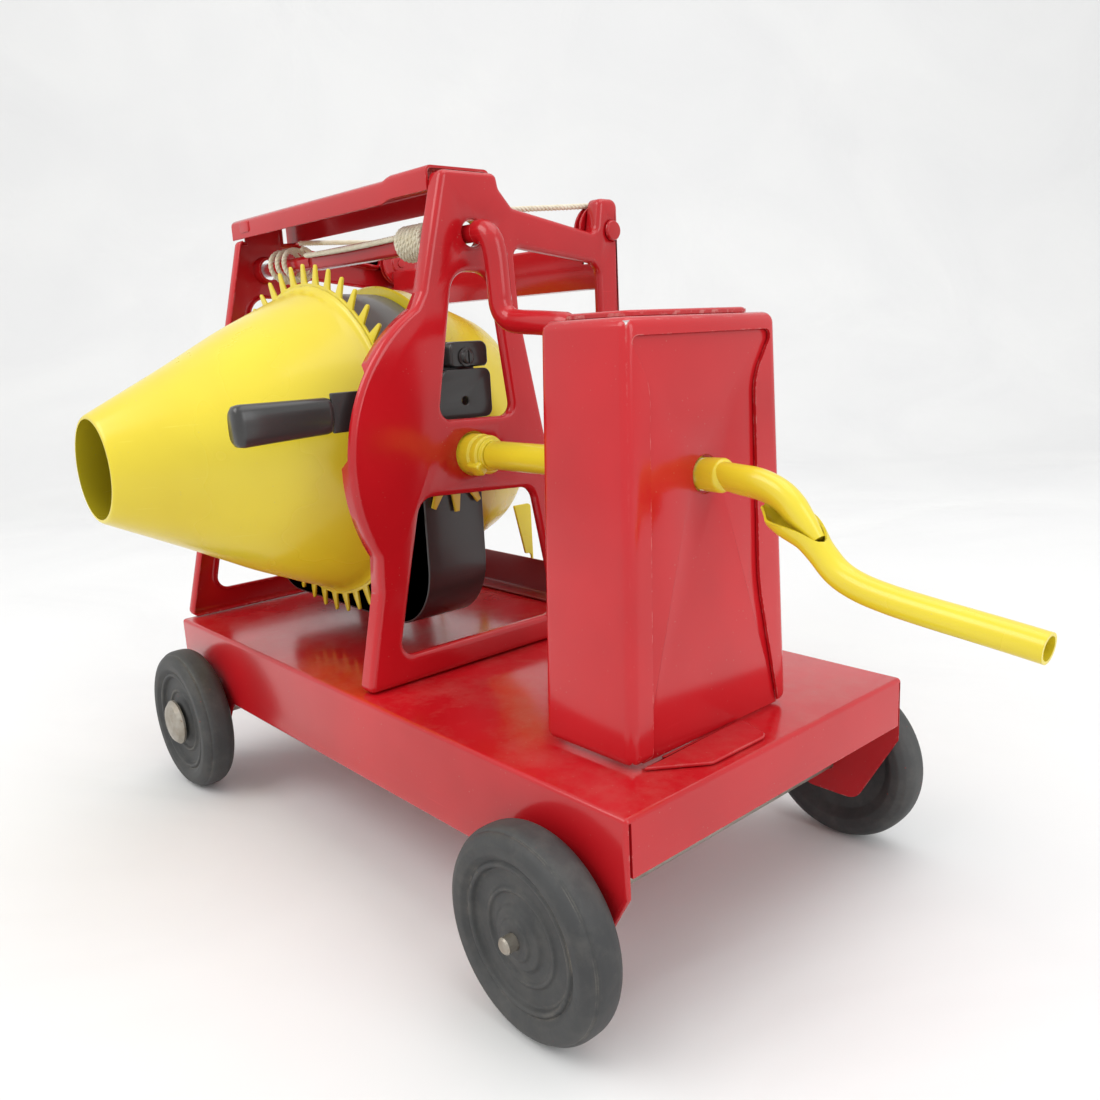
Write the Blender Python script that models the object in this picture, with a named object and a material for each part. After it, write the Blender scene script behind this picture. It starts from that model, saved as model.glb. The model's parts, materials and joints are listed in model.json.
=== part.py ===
"""Pressed-steel toy concrete mixer: the CAD solids, one object per piece.

Design frame in millimetres: X along the deck towards the crank handle, Y from the drum's mouth towards
the loading skip, Z up from the floor. ORIGIN_X and ORIGIN_Y move the row's origin to the middle of the
bounding box, on the floor.
"""

import math

import bmesh
import bpy
from mathutils import Vector

MM = 0.001
ORIGIN_X = 34.43
ORIGIN_Y = 0.94
GAP = 0.3
SHEET = 1.0

# deck
DECK_X = 140.0
DECK_Y = 67.4
DECK_Z = 69.3
END_SKIRT = 16.8
SIDE_SKIRT = 30.3
AXLE_R = 2.4
AXLE_X_NEAR = 112.2
AXLE_X_FAR = -116.6
WHEEL_R = 30.5
WHEEL_T = 15.5
WHEEL_GAP = 1.6

# side frames
NEAR_X = 16.1
FAR_X = -142.8
FLANGE = 6.6
LIP = 3.4
FRAME_BASE = DECK_Z + GAP
BULGE = (-2.0, 146.0)
BULGE_R = 61.0

# crank shaft, which is also the drum's tilt axis
TILT_Y = -12.2
TILT_Z = 147.4

# drum
DRUM_X = -63.5
DRUM_Z = 149.5
RING_Y = TILT_Y - 19.1
RING_TIP_R = 69.9
RING_ROOT_R = 62.6
RING_TEETH = 45
PINION_TEETH = 13
PINION_TIP_R = 22.6
PINION_ROOT_R = 14.6
MOUTH_Y = TILT_Y - 106.5
MOUTH_R = 18.6
REAR_RIM_Y = TILT_Y + 12.0
REAR_END_Y = TILT_Y + 58.6

# winch
WINCH_Y = -6.7
WINCH_Z = 223.4
ROD_R = 3.1
ROPE_R = 1.1

# loading skip and pulleys
PULLEY_Y = 62.0
PULLEY_Z = 226.4
PULLEY_R = 10.6
PULLEY_T = 3.8
PULLEY_NEAR_X = 5.2
PULLEY_FAR_X = -135.8
SKIP_NEAR_X = -43.5
SKIP_FAR_X = -83.5
BAR_LOW = 66.0
BAR_HIGH = 72.0

# engine housing
BOX_X0 = 88.5
BOX_X1 = 122.8
BOX_Y0 = -43.6
BOX_Y1 = 20.2
BOX_Z = 191.2
BOX_FLARE_X = 1.3
BOX_FLARE_Y = 4.4

RED = (0.47, 0.018, 0.022)
DARK_RED = (0.30, 0.012, 0.016)
YELLOW = (0.76, 0.50, 0.045)
BLACK = (0.020, 0.019, 0.018)
GREY = (0.075, 0.072, 0.068)
RUBBER = (0.070, 0.070, 0.068)
STEEL = (0.42, 0.38, 0.33)
ROPE = (0.72, 0.65, 0.45)


def clear_scene():
    for obj in list(bpy.data.objects):
        bpy.data.objects.remove(obj, do_unlink=True)


def material(name, rgb, roughness, metallic):
    mat = bpy.data.materials.new(name)
    mat.use_nodes = True
    shader = mat.node_tree.nodes["Principled BSDF"]
    shader.inputs["Base Color"].default_value = (*rgb, 1.0)
    shader.inputs["Roughness"].default_value = roughness
    shader.inputs["Metallic"].default_value = metallic
    mat.diffuse_color = (*rgb, 1.0)
    return mat


def make(name, bm, look, pivot=(0.0, 0.0, 0.0), angle=35.0):
    """One named object from a mesh in design millimetres, with its origin at pivot."""
    centre = Vector(pivot)
    for vert in bm.verts:
        vert.co = (vert.co - centre) * MM
    bmesh.ops.recalc_face_normals(bm, faces=bm.faces[:])
    mesh = bpy.data.meshes.new(name)
    bm.to_mesh(mesh)
    bm.free()
    mesh.shade_smooth()
    mesh.set_sharp_from_angle(angle=math.radians(angle))
    rgb, roughness, metallic = look
    mesh.materials.append(material(name, rgb, roughness, metallic))
    obj = bpy.data.objects.new(name, mesh)
    bpy.context.scene.collection.objects.link(obj)
    obj.location = (centre - Vector((ORIGIN_X, ORIGIN_Y, 0.0))) * MM
    return obj


def rounded(corners, steps=4):
    """Closed outline from (x, y, radius) corners, each filleted by an arc."""
    count = len(corners)
    outline = []
    for index in range(count):
        x, y, radius = corners[index]
        here = Vector((x, y))
        before = (Vector(corners[index - 1][:2]) - here).normalized()
        after = (Vector(corners[(index + 1) % count][:2]) - here).normalized()
        half = before.angle(after) / 2.0
        if radius < 0.05 or half > 1.54:
            outline.append((x, y))
            continue
        reach = radius / math.tan(half)
        centre = here + (before + after).normalized() * (radius / math.sin(half))
        start = here + before * reach - centre
        end = here + after * reach - centre
        sweep = math.atan2(start.x * end.y - start.y * end.x, start.dot(end))
        for step in range(steps + 1):
            turn = sweep * step / steps
            cos, sin = math.cos(turn), math.sin(turn)
            outline.append((centre.x + start.x * cos - start.y * sin,
                centre.y + start.x * sin + start.y * cos))
    return outline


def area(outline):
    pairs = zip(outline[-1:] + outline[:-1], outline)
    return 0.5 * sum(one[0] * two[1] - two[0] * one[1] for one, two in pairs)


def offset(outline, distance):
    """The outline moved outwards by distance, or inwards where it is negative."""
    sign = 1.0 if area(outline) > 0.0 else -1.0
    count = len(outline)
    moved = []
    for index in range(count):
        here = Vector(outline[index])
        one = (here - Vector(outline[index - 1])).normalized()
        two = (Vector(outline[(index + 1) % count]) - here).normalized()
        side_one = Vector((one.y, -one.x)) * sign
        side_two = Vector((two.y, -two.x)) * sign
        joint = side_one + side_two
        scale = distance / max(0.3, 0.5 * joint.length_squared)
        moved.append(tuple(here + joint * scale))
    return moved


def prism(loops, place, low, high):
    """Closed solid from an outline and its holes, from depth low to high, placed by place(u, v, depth)."""
    bm = bmesh.new()
    edges = []
    for loop in loops:
        verts = [bm.verts.new(place(u, v, low)) for u, v in loop]
        edges += [bm.edges.new((verts[i - 1], verts[i])) for i in range(len(verts))]
    bmesh.ops.triangle_fill(bm, use_beauty=True, use_dissolve=False, edges=edges)
    grown = bmesh.ops.extrude_face_region(bm, geom=bm.faces[:])
    verts = [item for item in grown["geom"] if isinstance(item, bmesh.types.BMVert)]
    bmesh.ops.translate(bm, verts=verts, vec=Vector(place(0.0, 0.0, high)) - Vector(place(0.0, 0.0, low)))
    return bm


def along_x(u, v, depth):
    return Vector((depth, u, v))


def along_y(u, v, depth):
    return Vector((u, depth, v))


def along_z(u, v, depth):
    return Vector((u, v, depth))


def lathe(profile, centre, axis, segments=48, closed_ring=False):
    """Solid of revolution. profile lists (distance along axis, radius); zero radius ends are closed."""
    bm = bmesh.new()
    axis = Vector(axis).normalized()
    side = axis.orthogonal().normalized()
    other = axis.cross(side)
    centre = Vector(centre)
    rings = []
    for along, radius in profile:
        base = centre + axis * along
        if radius < 1e-6:
            rings.append([bm.verts.new(base)])
            continue
        ring = []
        for step in range(segments):
            turn = math.tau * step / segments
            ring.append(bm.verts.new(base + (side * math.cos(turn) + other * math.sin(turn)) * radius))
        rings.append(ring)
    pairs = list(zip(rings, rings[1:]))
    if closed_ring:
        pairs.append((rings[-1], rings[0]))
    for one, two in pairs:
        for step in range(segments):
            after = (step + 1) % segments
            if len(one) == 1:
                bm.faces.new((one[0], two[step], two[after]))
            elif len(two) == 1:
                bm.faces.new((one[step], one[after], two[0]))
            else:
                bm.faces.new((one[step], one[after], two[after], two[step]))
    return bm


def tube(path, radius, sides=10, radii=None):
    """Round bar swept along a list of points, with filled ends."""
    bm = bmesh.new()
    points = [Vector(point) for point in path]
    tangent = (points[1] - points[0]).normalized()
    side = tangent.orthogonal().normalized()
    rings = []
    for index, point in enumerate(points):
        before = points[max(index - 1, 0)]
        after = points[min(index + 1, len(points) - 1)]
        tangent = (after - before).normalized()
        side = (side - tangent * side.dot(tangent)).normalized()
        other = tangent.cross(side)
        size = radii[index] if radii else radius
        ring = []
        for step in range(sides):
            turn = math.tau * (step + 0.5) / sides
            reach = (side * math.cos(turn) + other * math.sin(turn)) * size
            ring.append(bm.verts.new(point + reach))
        rings.append(ring)
    for one, two in zip(rings, rings[1:]):
        for step in range(sides):
            after = (step + 1) % sides
            bm.faces.new((one[step], one[after], two[after], two[step]))
    bm.faces.new(rings[0])
    bm.faces.new(rings[-1])
    return bm


def smooth_path(points, steps=4):
    """Catmull-Rom curve through the points."""
    line = [Vector(point) for point in points]
    line = [line[0] * 2.0 - line[1]] + line + [line[-1] * 2.0 - line[-2]]
    curve = []
    for index in range(1, len(line) - 2):
        a, b, c, d = line[index - 1 : index + 3]
        for step in range(steps):
            t = step / steps
            square = (2.0 * a - 5.0 * b + 4.0 * c - d) * t**2
            cube = (3.0 * b - a - 3.0 * c + d) * t**3
            curve.append(0.5 * (2.0 * b + (c - a) * t + square + cube))
    curve.append(line[-2])
    return curve


def cut(obj, bm, name):
    """Subtract a mesh in design millimetres from an object."""
    tool = make(name, bm, (RED, 0.5, 0.0))
    tool.hide_render = True
    tool.display_type = "WIRE"
    step = obj.modifiers.new(name, "BOOLEAN")
    step.operation = "DIFFERENCE"
    step.solver = "EXACT"
    step.object = tool
    return tool


def bevel_sharp(obj, width, segments=2, angle=40.0):
    step = obj.modifiers.new("edges", "BEVEL")
    step.width = width * MM
    step.segments = segments
    step.limit_method = "ANGLE"
    step.angle_limit = math.radians(angle)
    return step


def box(low, high):
    corners = [(low[0], low[1]), (high[0], low[1]), (high[0], high[1]), (low[0], high[1])]
    return prism([corners], along_z, low[2], high[2])


RED_PAINT = (RED, 0.28, 0.0)
DARK_PAINT = (DARK_RED, 0.32, 0.0)
YELLOW_PAINT = (YELLOW, 0.34, 0.0)
BLACK_PAINT = (BLACK, 0.42, 0.0)
GREY_PAINT = (GREY, 0.45, 0.0)
RUBBER_LOOK = (RUBBER, 0.7, 0.0)
STEEL_LOOK = (STEEL, 0.45, 0.9)
ROPE_LOOK = (ROPE, 0.85, 0.0)


def build_deck():
    """Open-bottomed tray: deep side skirts with ears for the axles, shallow end skirts."""
    bottom = DECK_Z - SIDE_SKIRT
    ears = [(-DECK_X, DECK_Z, 0.0), (-DECK_X, 47.0, 1.5)]
    ears += [(AXLE_X_FAR - 12.0, 19.5, 7.0), (AXLE_X_FAR + 9.0, 19.5, 7.0),
        (AXLE_X_FAR + 22.0, bottom, 6.0)]
    ears += [(AXLE_X_NEAR - 22.0, bottom, 6.0), (AXLE_X_NEAR - 9.0, 19.5, 7.0),
        (AXLE_X_NEAR + 12.0, 19.5, 7.0)]
    ears += [(DECK_X, 47.0, 1.5), (DECK_X, DECK_Z, 0.0)]
    deck = make("deck_tray", prism([rounded(ears, 3)], along_y, -DECK_Y, DECK_Y), RED_PAINT)
    bevel_sharp(deck, 1.2, 2, 60.0)
    inside = box((-DECK_X + SHEET, -DECK_Y + SHEET, -5.0), (DECK_X - SHEET, DECK_Y - SHEET, DECK_Z - SHEET))
    cut(deck, inside, "cut_deck_inside")
    for name, x0, x1 in (("rear", -DECK_X - 5.0, -DECK_X + SHEET + 0.6),
        ("front", DECK_X - SHEET - 0.6, DECK_X + 5.0)):
        low = (x0, -DECK_Y + SHEET + 0.1, -5.0)
        high = (x1, DECK_Y - SHEET - 0.1, DECK_Z - END_SKIRT)
        cut(deck, box(low, high), "cut_end_skirt_%s" % name)
    for name, x in (("rear", AXLE_X_FAR), ("front", AXLE_X_NEAR)):
        bore = [(-90.0, 0.0), (-90.0, AXLE_R + GAP), (90.0, AXLE_R + GAP), (90.0, 0.0)]
        cut(deck, lathe(bore, (x, 0.0, WHEEL_R), (0, 1, 0), 24), "cut_axle_%s" % name)


def side_outline(bulge):
    """Outer edge of a side frame in (Y, Z), with the three openings."""
    left = [(-63.8, FRAME_BASE, 1.8)]
    if bulge:
        left += [(-56.0, 104.0, 4.0)]
        start = math.atan2(115.5 - BULGE[1], -57.0 - BULGE[0]) + math.tau
        end = math.atan2(198.0 - BULGE[1], -32.0 - BULGE[0])
        for step in range(11):
            turn = start + (end - start) * step / 10
            left.append((BULGE[0] + BULGE_R * math.cos(turn), BULGE[1] + BULGE_R * math.sin(turn), 0.0))
        left += [(-29.4, 204.0, 2.0), (-18.4, 244.0, 2.0)]
        top = [(5.6, 244.0, 1.8), (6.6, 239.0, 3.0)]
    else:
        left += [(-20.4, 236.2, 1.8), (-18.0, 236.2, 0.0)]
        top = [(-18.0, 244.0, 1.8), (5.0, 244.0, 1.8), (5.0, 235.8, 0.0), (9.4, 235.8, 1.0)]
    outer = left + top + [(12.4, 232.8, 3.0), (54.0, 225.2, 3.0), (56.0, 238.4, 2.6)]
    outer += [(66.2, 238.4, 3.0), (66.2, FRAME_BASE, 1.8)]
    upper = [(-25.9, 160.4, 4.5), (-16.0, 210.8, 8.0), (0.8, 210.4, 8.0), (7.4, 159.4, 4.5)]
    lower = [(-49.8, 79.6, 5.0), (-36.4, 134.4, 7.0), (14.6, 131.6, 6.0), (24.5, 79.6, 5.0)]
    rear = [(12.0, 219.2, 3.0), (13.2, 196.0, 12.0), (37.5, 79.6, 5.0), (54.6, 79.6, 5.0),
        (54.6, 213.8, 5.0)]
    return rounded(outer, 3), [rounded(hole, 3) for hole in (upper, lower, rear)]


def hole_at(y, z, radius, segments=24):
    return [(y + radius * math.cos(math.tau * i / segments),
        z + radius * math.sin(math.tau * i / segments)) for i in range(segments)]


def pan(outer, holes, bores, place, face, sense, depth_at):
    """Pressed sheet in one piece: a web at face, a turned edge of depth_at(point), lips round holes."""
    bm = bmesh.new()

    def ring(loop, depths):
        return [bm.verts.new(place(u, v, face + sense * depth)) for (u, v), depth in zip(loop, depths)]

    def wall(one, two):
        for i in range(len(one)):
            bm.faces.new((one[i - 1], one[i], two[i], two[i - 1]))

    def fill(rings):
        edges = []
        for verts in rings:
            for i in range(len(verts)):
                pair = (verts[i - 1], verts[i])
                edges.append(bm.edges.get(pair) or bm.edges.new(pair))
        bmesh.ops.triangle_fill(bm, use_beauty=True, use_dissolve=False, edges=edges)

    depths = [depth_at(point) for point in outer]
    inner = offset(outer, -SHEET)
    count = len(outer)
    steps = [ring(outer, [0.0] * count), ring(outer, depths), ring(inner, depths),
        ring(inner, [SHEET] * count)]
    for one, two in zip(steps, steps[1:]):
        wall(one, two)
    front, back = [steps[0]], [steps[-1]]
    for hole, lip in [(hole, LIP) for hole in holes] + [(bore, 0.0) for bore in bores]:
        count = len(hole)
        rings = [ring(hole, [0.0] * count)]
        if lip:
            edge = offset(hole, SHEET)
            rings += [ring(hole, [lip] * count), ring(edge, [lip] * count), ring(edge, [SHEET] * count)]
        else:
            rings.append(ring(hole, [SHEET] * count))
        for one, two in zip(rings, rings[1:]):
            wall(one, two)
        front.append(rings[0])
        back.append(rings[-1])
    fill(front)
    fill(back)
    return bm


def build_side(name, face_x, inward, bulge):
    """Pressed side frame: a web at face_x, its edges turned inward (-1 or 1 along X)."""
    outer, holes = side_outline(bulge)
    bores = [hole_at(WINCH_Y, WINCH_Z, 6.2), hole_at(PULLEY_Y, PULLEY_Z, 2.0 + GAP, 16)]
    bores.append(hole_at(TILT_Y, TILT_Z, 8.0 if bulge else 3.0 + GAP))

    def depth_at(point):
        y, z = point
        notch = bulge and y < -50.0 and (150.0 < z < 180.0 or 104.5 < z < 111.0)
        tab = not bulge and -18.5 < y < 5.5 and z > 235.0
        return SHEET + 0.4 if notch or tab else FLANGE

    solid = pan(outer, holes, bores, along_x, face_x, inward, depth_at)
    make(name, solid, RED_PAINT)


def build_channel():
    """Inverted channel joining the tops of the two side frames."""
    corners = [(-20.2, 237.8, 0.0), (-20.2, 246.2, 1.6), (7.6, 246.2, 1.6), (7.6, 236.6, 0.0),
        (6.6, 236.6, 0.0)]
    corners += [(6.6, 245.2, 0.8), (-19.2, 245.2, 0.8), (-19.2, 237.8, 0.0)]
    solid = prism([rounded(corners, 3)], along_x, FAR_X - 1.2, NEAR_X - FLANGE - GAP)
    make("top_channel", solid, RED_PAINT)


def build_cross():
    """Pressed bar joining the posts at the rear, and the angle along the deck's rear edge."""
    corners = [(56.2, 204.8, 0.0), (56.2, 222.6, 1.0), (65.0, 222.6, 0.0), (65.0, 221.6, 0.0)]
    corners += [(57.2, 221.6, 0.5), (57.2, 205.8, 0.5), (65.0, 205.8, 0.0), (65.0, 204.8, 0.0)]
    reach = SHEET + GAP
    solid = prism([rounded(corners, 3)], along_x, FAR_X + reach, NEAR_X - reach)
    cross = make("rear_cross_channel", solid, RED_PAINT)
    waste = [(57.15, 200.0), (70.0, 200.0), (70.0, 230.0), (50.0, 230.0), (50.0, 214.5), (57.15, 214.5)]
    for name, low, high in (("far", FAR_X - 5.0, -131.6), ("near", 4.6, NEAR_X + 5.0)):
        cut(cross, prism([waste], along_x, low, high), "cut_cross_%s" % name)
    corners = [(63.0, 86.0, 0.4), (64.0, 86.0, 0.4), (64.0, FRAME_BASE, 0.6), (55.2, FRAME_BASE, 0.4)]
    corners += [(55.2, FRAME_BASE + 1.0, 0.4), (63.0, FRAME_BASE + 1.0, 1.2)]
    low, high = FAR_X + FLANGE + GAP, NEAR_X - FLANGE - GAP
    make("rear_deck_rail", prism([rounded(corners, 3)], along_x, low, high), DARK_PAINT)


def flared(x0, x1, y0, y1, z0, z1, spread_x, spread_y):
    """Box whose bottom is wider than its top by the spreads."""
    bm = bmesh.new()
    top = [(x0, y0), (x1, y0), (x1, y1), (x0, y1)]
    low = [(x0 - spread_x, y0 - spread_y), (x1 + spread_x, y0 - spread_y), (x1 + spread_x, y1 + spread_y),
        (x0 - spread_x, y1 + spread_y)]
    tops = [bm.verts.new((x, y, z1)) for x, y in top]
    lows = [bm.verts.new((x, y, z0)) for x, y in low]
    bm.faces.new(tops)
    bm.faces.new(lows)
    for i in range(4):
        bm.faces.new((tops[i - 1], tops[i], lows[i], lows[i - 1]))
    return bm


def build_housing():
    """Engine cover: a wrap with turned-in front edges, and the inset front panel with its foot."""
    z0 = DECK_Z + GAP
    wrap = make("housing_wrap", flared(BOX_X0, BOX_X1, BOX_Y0, BOX_Y1, z0, BOX_Z, BOX_FLARE_X,
        BOX_FLARE_Y), RED_PAINT)
    bevel_sharp(wrap, 3.0, 4, 40.0)
    t = SHEET
    inside = flared(BOX_X0 - 6.0, BOX_X1 - t, BOX_Y0 + t, BOX_Y1 - t, z0 - 4.0, BOX_Z - t, BOX_FLARE_X,
        BOX_FLARE_Y)
    cut(wrap, inside, "cut_housing_inside")
    window = [(-35.6, 60.0, 0.0), (-34.6, 170.0, 20.0), (-43.2, 187.2, 0.0), (19.8, 187.2, 0.0),
        (11.0, 168.0, 20.0), (15.0, 60.0, 0.0)]
    cut(wrap, prism([rounded(window, 6)], along_x, BOX_X1 - 4.0, BOX_X1 + 8.0), "cut_housing_front")
    panel = [(-42.0, z0, 0.0), (-39.2, 189.2, 2.0), (16.4, 189.2, 2.0), (20.0, z0, 0.0)]
    hole = hole_at(TILT_Y, TILT_Z, 5.4)
    front = BOX_X1 - t - GAP
    sheet = prism([rounded(panel), hole], along_x, front - t, front)
    lean = BOX_FLARE_X / (BOX_Z - z0)
    for vert in sheet.verts:
        vert.co.x += (BOX_Z - vert.co.z) * lean
    make("housing_panel", sheet, RED_PAINT)
    wall, root = BOX_X1 + 1.8, BOX_X1 + 0.4
    foot = [(wall, -44.5, 0.0), (BOX_X1 + 13.5, -28.6, 5.0), (BOX_X1 + 13.5, -3.2, 5.0), (wall, 0.6, 0.0)]
    foot += [(root, 0.6, 0.0), (root, -35.0, 0.0), (wall, -35.0, 0.0)]
    tab = make("housing_foot_tab", prism([rounded(foot)], along_z, z0, z0 + 1.0), RED_PAINT)
    bevel_sharp(tab, 0.3, 1, 60.0)


def wheel_profile():
    """Closed section of the rubber wheel: (distance from the inner face, radius)."""
    t = WHEEL_T
    bore = AXLE_R + 0.08
    outer = [(t - 1.0, bore), (t - 1.0, 8.0), (t - 4.0, 12.0), (t - 3.4, 19.5), (t - 1.2, 20.8),
        (t - 1.4, 26.4), (t - 4.2, 29.9)]
    inner = [(t / 2.0, WHEEL_R), (4.2, 29.9), (1.4, 26.4), (1.8, 22.0), (4.2, 19.0), (4.2, 12.0),
        (1.0, 8.0), (1.0, bore)]
    return outer + inner


CAP_SECTION = [(3.1, 0.0), (2.9, AXLE_R + 0.1), (0.0, AXLE_R + GAP), (0.0, 9.7), (0.8, 9.7), (2.4, 8.0),
    (3.6, 4.2), (3.9, 0.0)]


def build_wheels():
    for name, x in (("front", AXLE_X_NEAR), ("rear", AXLE_X_FAR)):
        for side, sign in (("near", -1.0), ("far", 1.0)):
            face = sign * (DECK_Y + WHEEL_GAP)
            pivot = (x, face, WHEEL_R)
            make("wheel_%s_%s" % (name, side), lathe(wheel_profile(), pivot, (0.0, sign, 0.0), 32, True),
                RUBBER_LOOK, pivot)
            if (name, side) != ("front", "near"):
                end = face + sign * (WHEEL_T - 1.0 + GAP)
                solid = lathe(CAP_SECTION, (x, end, WHEEL_R), (0.0, sign, 0.0), 24)
                make("hub_cap_%s_%s" % (name, side), solid, STEEL_LOOK)
        reach = DECK_Y + WHEEL_GAP + WHEEL_T
        near_end = -reach - (2.4 if name == "front" else 0.4)
        profile = [(0.0, 0.0), (0.0, AXLE_R - 0.5), (0.5, AXLE_R), (reach - near_end - 0.1, AXLE_R),
            (reach - near_end + 0.4, AXLE_R - 0.5), (reach - near_end + 0.4, 0.0)]
        make("axle_%s" % name, lathe(profile, (x, near_end, WHEEL_R), (0.0, 1.0, 0.0), 16), STEEL_LOOK)


def finger_disc(teeth, root, tip, root_half, tip_half, phase):
    """Outline of a stamped disc with flat tapering fingers, the first at angle phase."""
    outline = []
    for tooth in range(teeth):
        centre = phase + math.tau * tooth / teeth
        for radius, half in ((root, -root_half), (tip, -tip_half), (tip, tip_half), (root, root_half)):
            turn = centre + half / radius
            outline.append((radius * math.cos(turn), radius * math.sin(turn)))
    return outline


def circle(radius, segments):
    return [(radius * math.cos(math.tau * i / segments),
        radius * math.sin(math.tau * i / segments)) for i in range(segments)]


def build_drum():
    """Two pressed shells and the finger ring between them, round the drum's own axis."""
    pivot = (DRUM_X, TILT_Y, DRUM_Z)
    fingers = finger_disc(RING_TEETH, RING_ROOT_R, RING_TIP_R, 2.1, 0.95, 0.0)

    def on_ring(u, v, depth):
        return Vector((DRUM_X + u, RING_Y + depth, DRUM_Z + v))

    make("ring_gear", prism([fingers, circle(56.6, 45)], on_ring, -0.5, 0.5), YELLOW_PAINT, pivot)
    mouth = TILT_Y - MOUTH_Y
    ring = TILT_Y - RING_Y
    t = 1.0
    front_outer = [(mouth - 0.3, MOUTH_R - 0.2), (mouth, MOUTH_R), (mouth - 0.5, MOUTH_R + 0.5)]
    front_outer += [(mouth - 30.0, 33.6), (ring + 34.0, 46.0), (ring + 14.0, 54.6), (ring + 4.0, 58.8),
        (ring + 1.4, 60.0), (ring + 0.5 + GAP, 61.6)]
    front_inner = [(ring + 0.5 + GAP, 57.4), (ring + 3.4, 57.6), (ring + 13.6, 53.4), (ring + 33.4, 44.8),
        (mouth - 30.4, 32.6), (mouth - 0.8, MOUTH_R - 0.4)]
    make("drum_front_shell", lathe(front_outer + front_inner, pivot, (0, -1, 0), 45, True), YELLOW_PAINT,
        pivot)
    rear = REAR_RIM_Y - TILT_Y
    end = REAR_END_Y - TILT_Y
    outer = [(-ring + 0.5 + GAP, 56.0), (rear - 1.2, 56.0), (rear - 1.2, 60.8), (rear, 61.4),
        (rear + 1.0, 60.6), (rear + 8.0, 60.0), (end - 6.6, 48.0), (end - 2.4, 44.0), (end, 36.0),
        (end, 0.0)]
    inner = [(end - t, 0.0), (end - t, 35.6), (end - 3.2, 43.0), (end - 7.2, 46.9), (rear + 7.8, 58.8),
        (rear + 1.0, 59.4), (rear - 0.2, 55.0), (-ring + 0.5 + GAP, 55.0)]
    make("drum_rear_shell", lathe(inner + outer, pivot, (0, 1, 0), 45), YELLOW_PAINT, pivot)
    hoop = [(-ring + 1.6, 56.4), (rear - 1.8, 56.4), (rear - 1.8, 58.2), (-ring + 1.6, 58.2)]
    make("yoke_hoop", lathe(hoop, pivot, (0, 1, 0), 45, True), GREY_PAINT)


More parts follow.
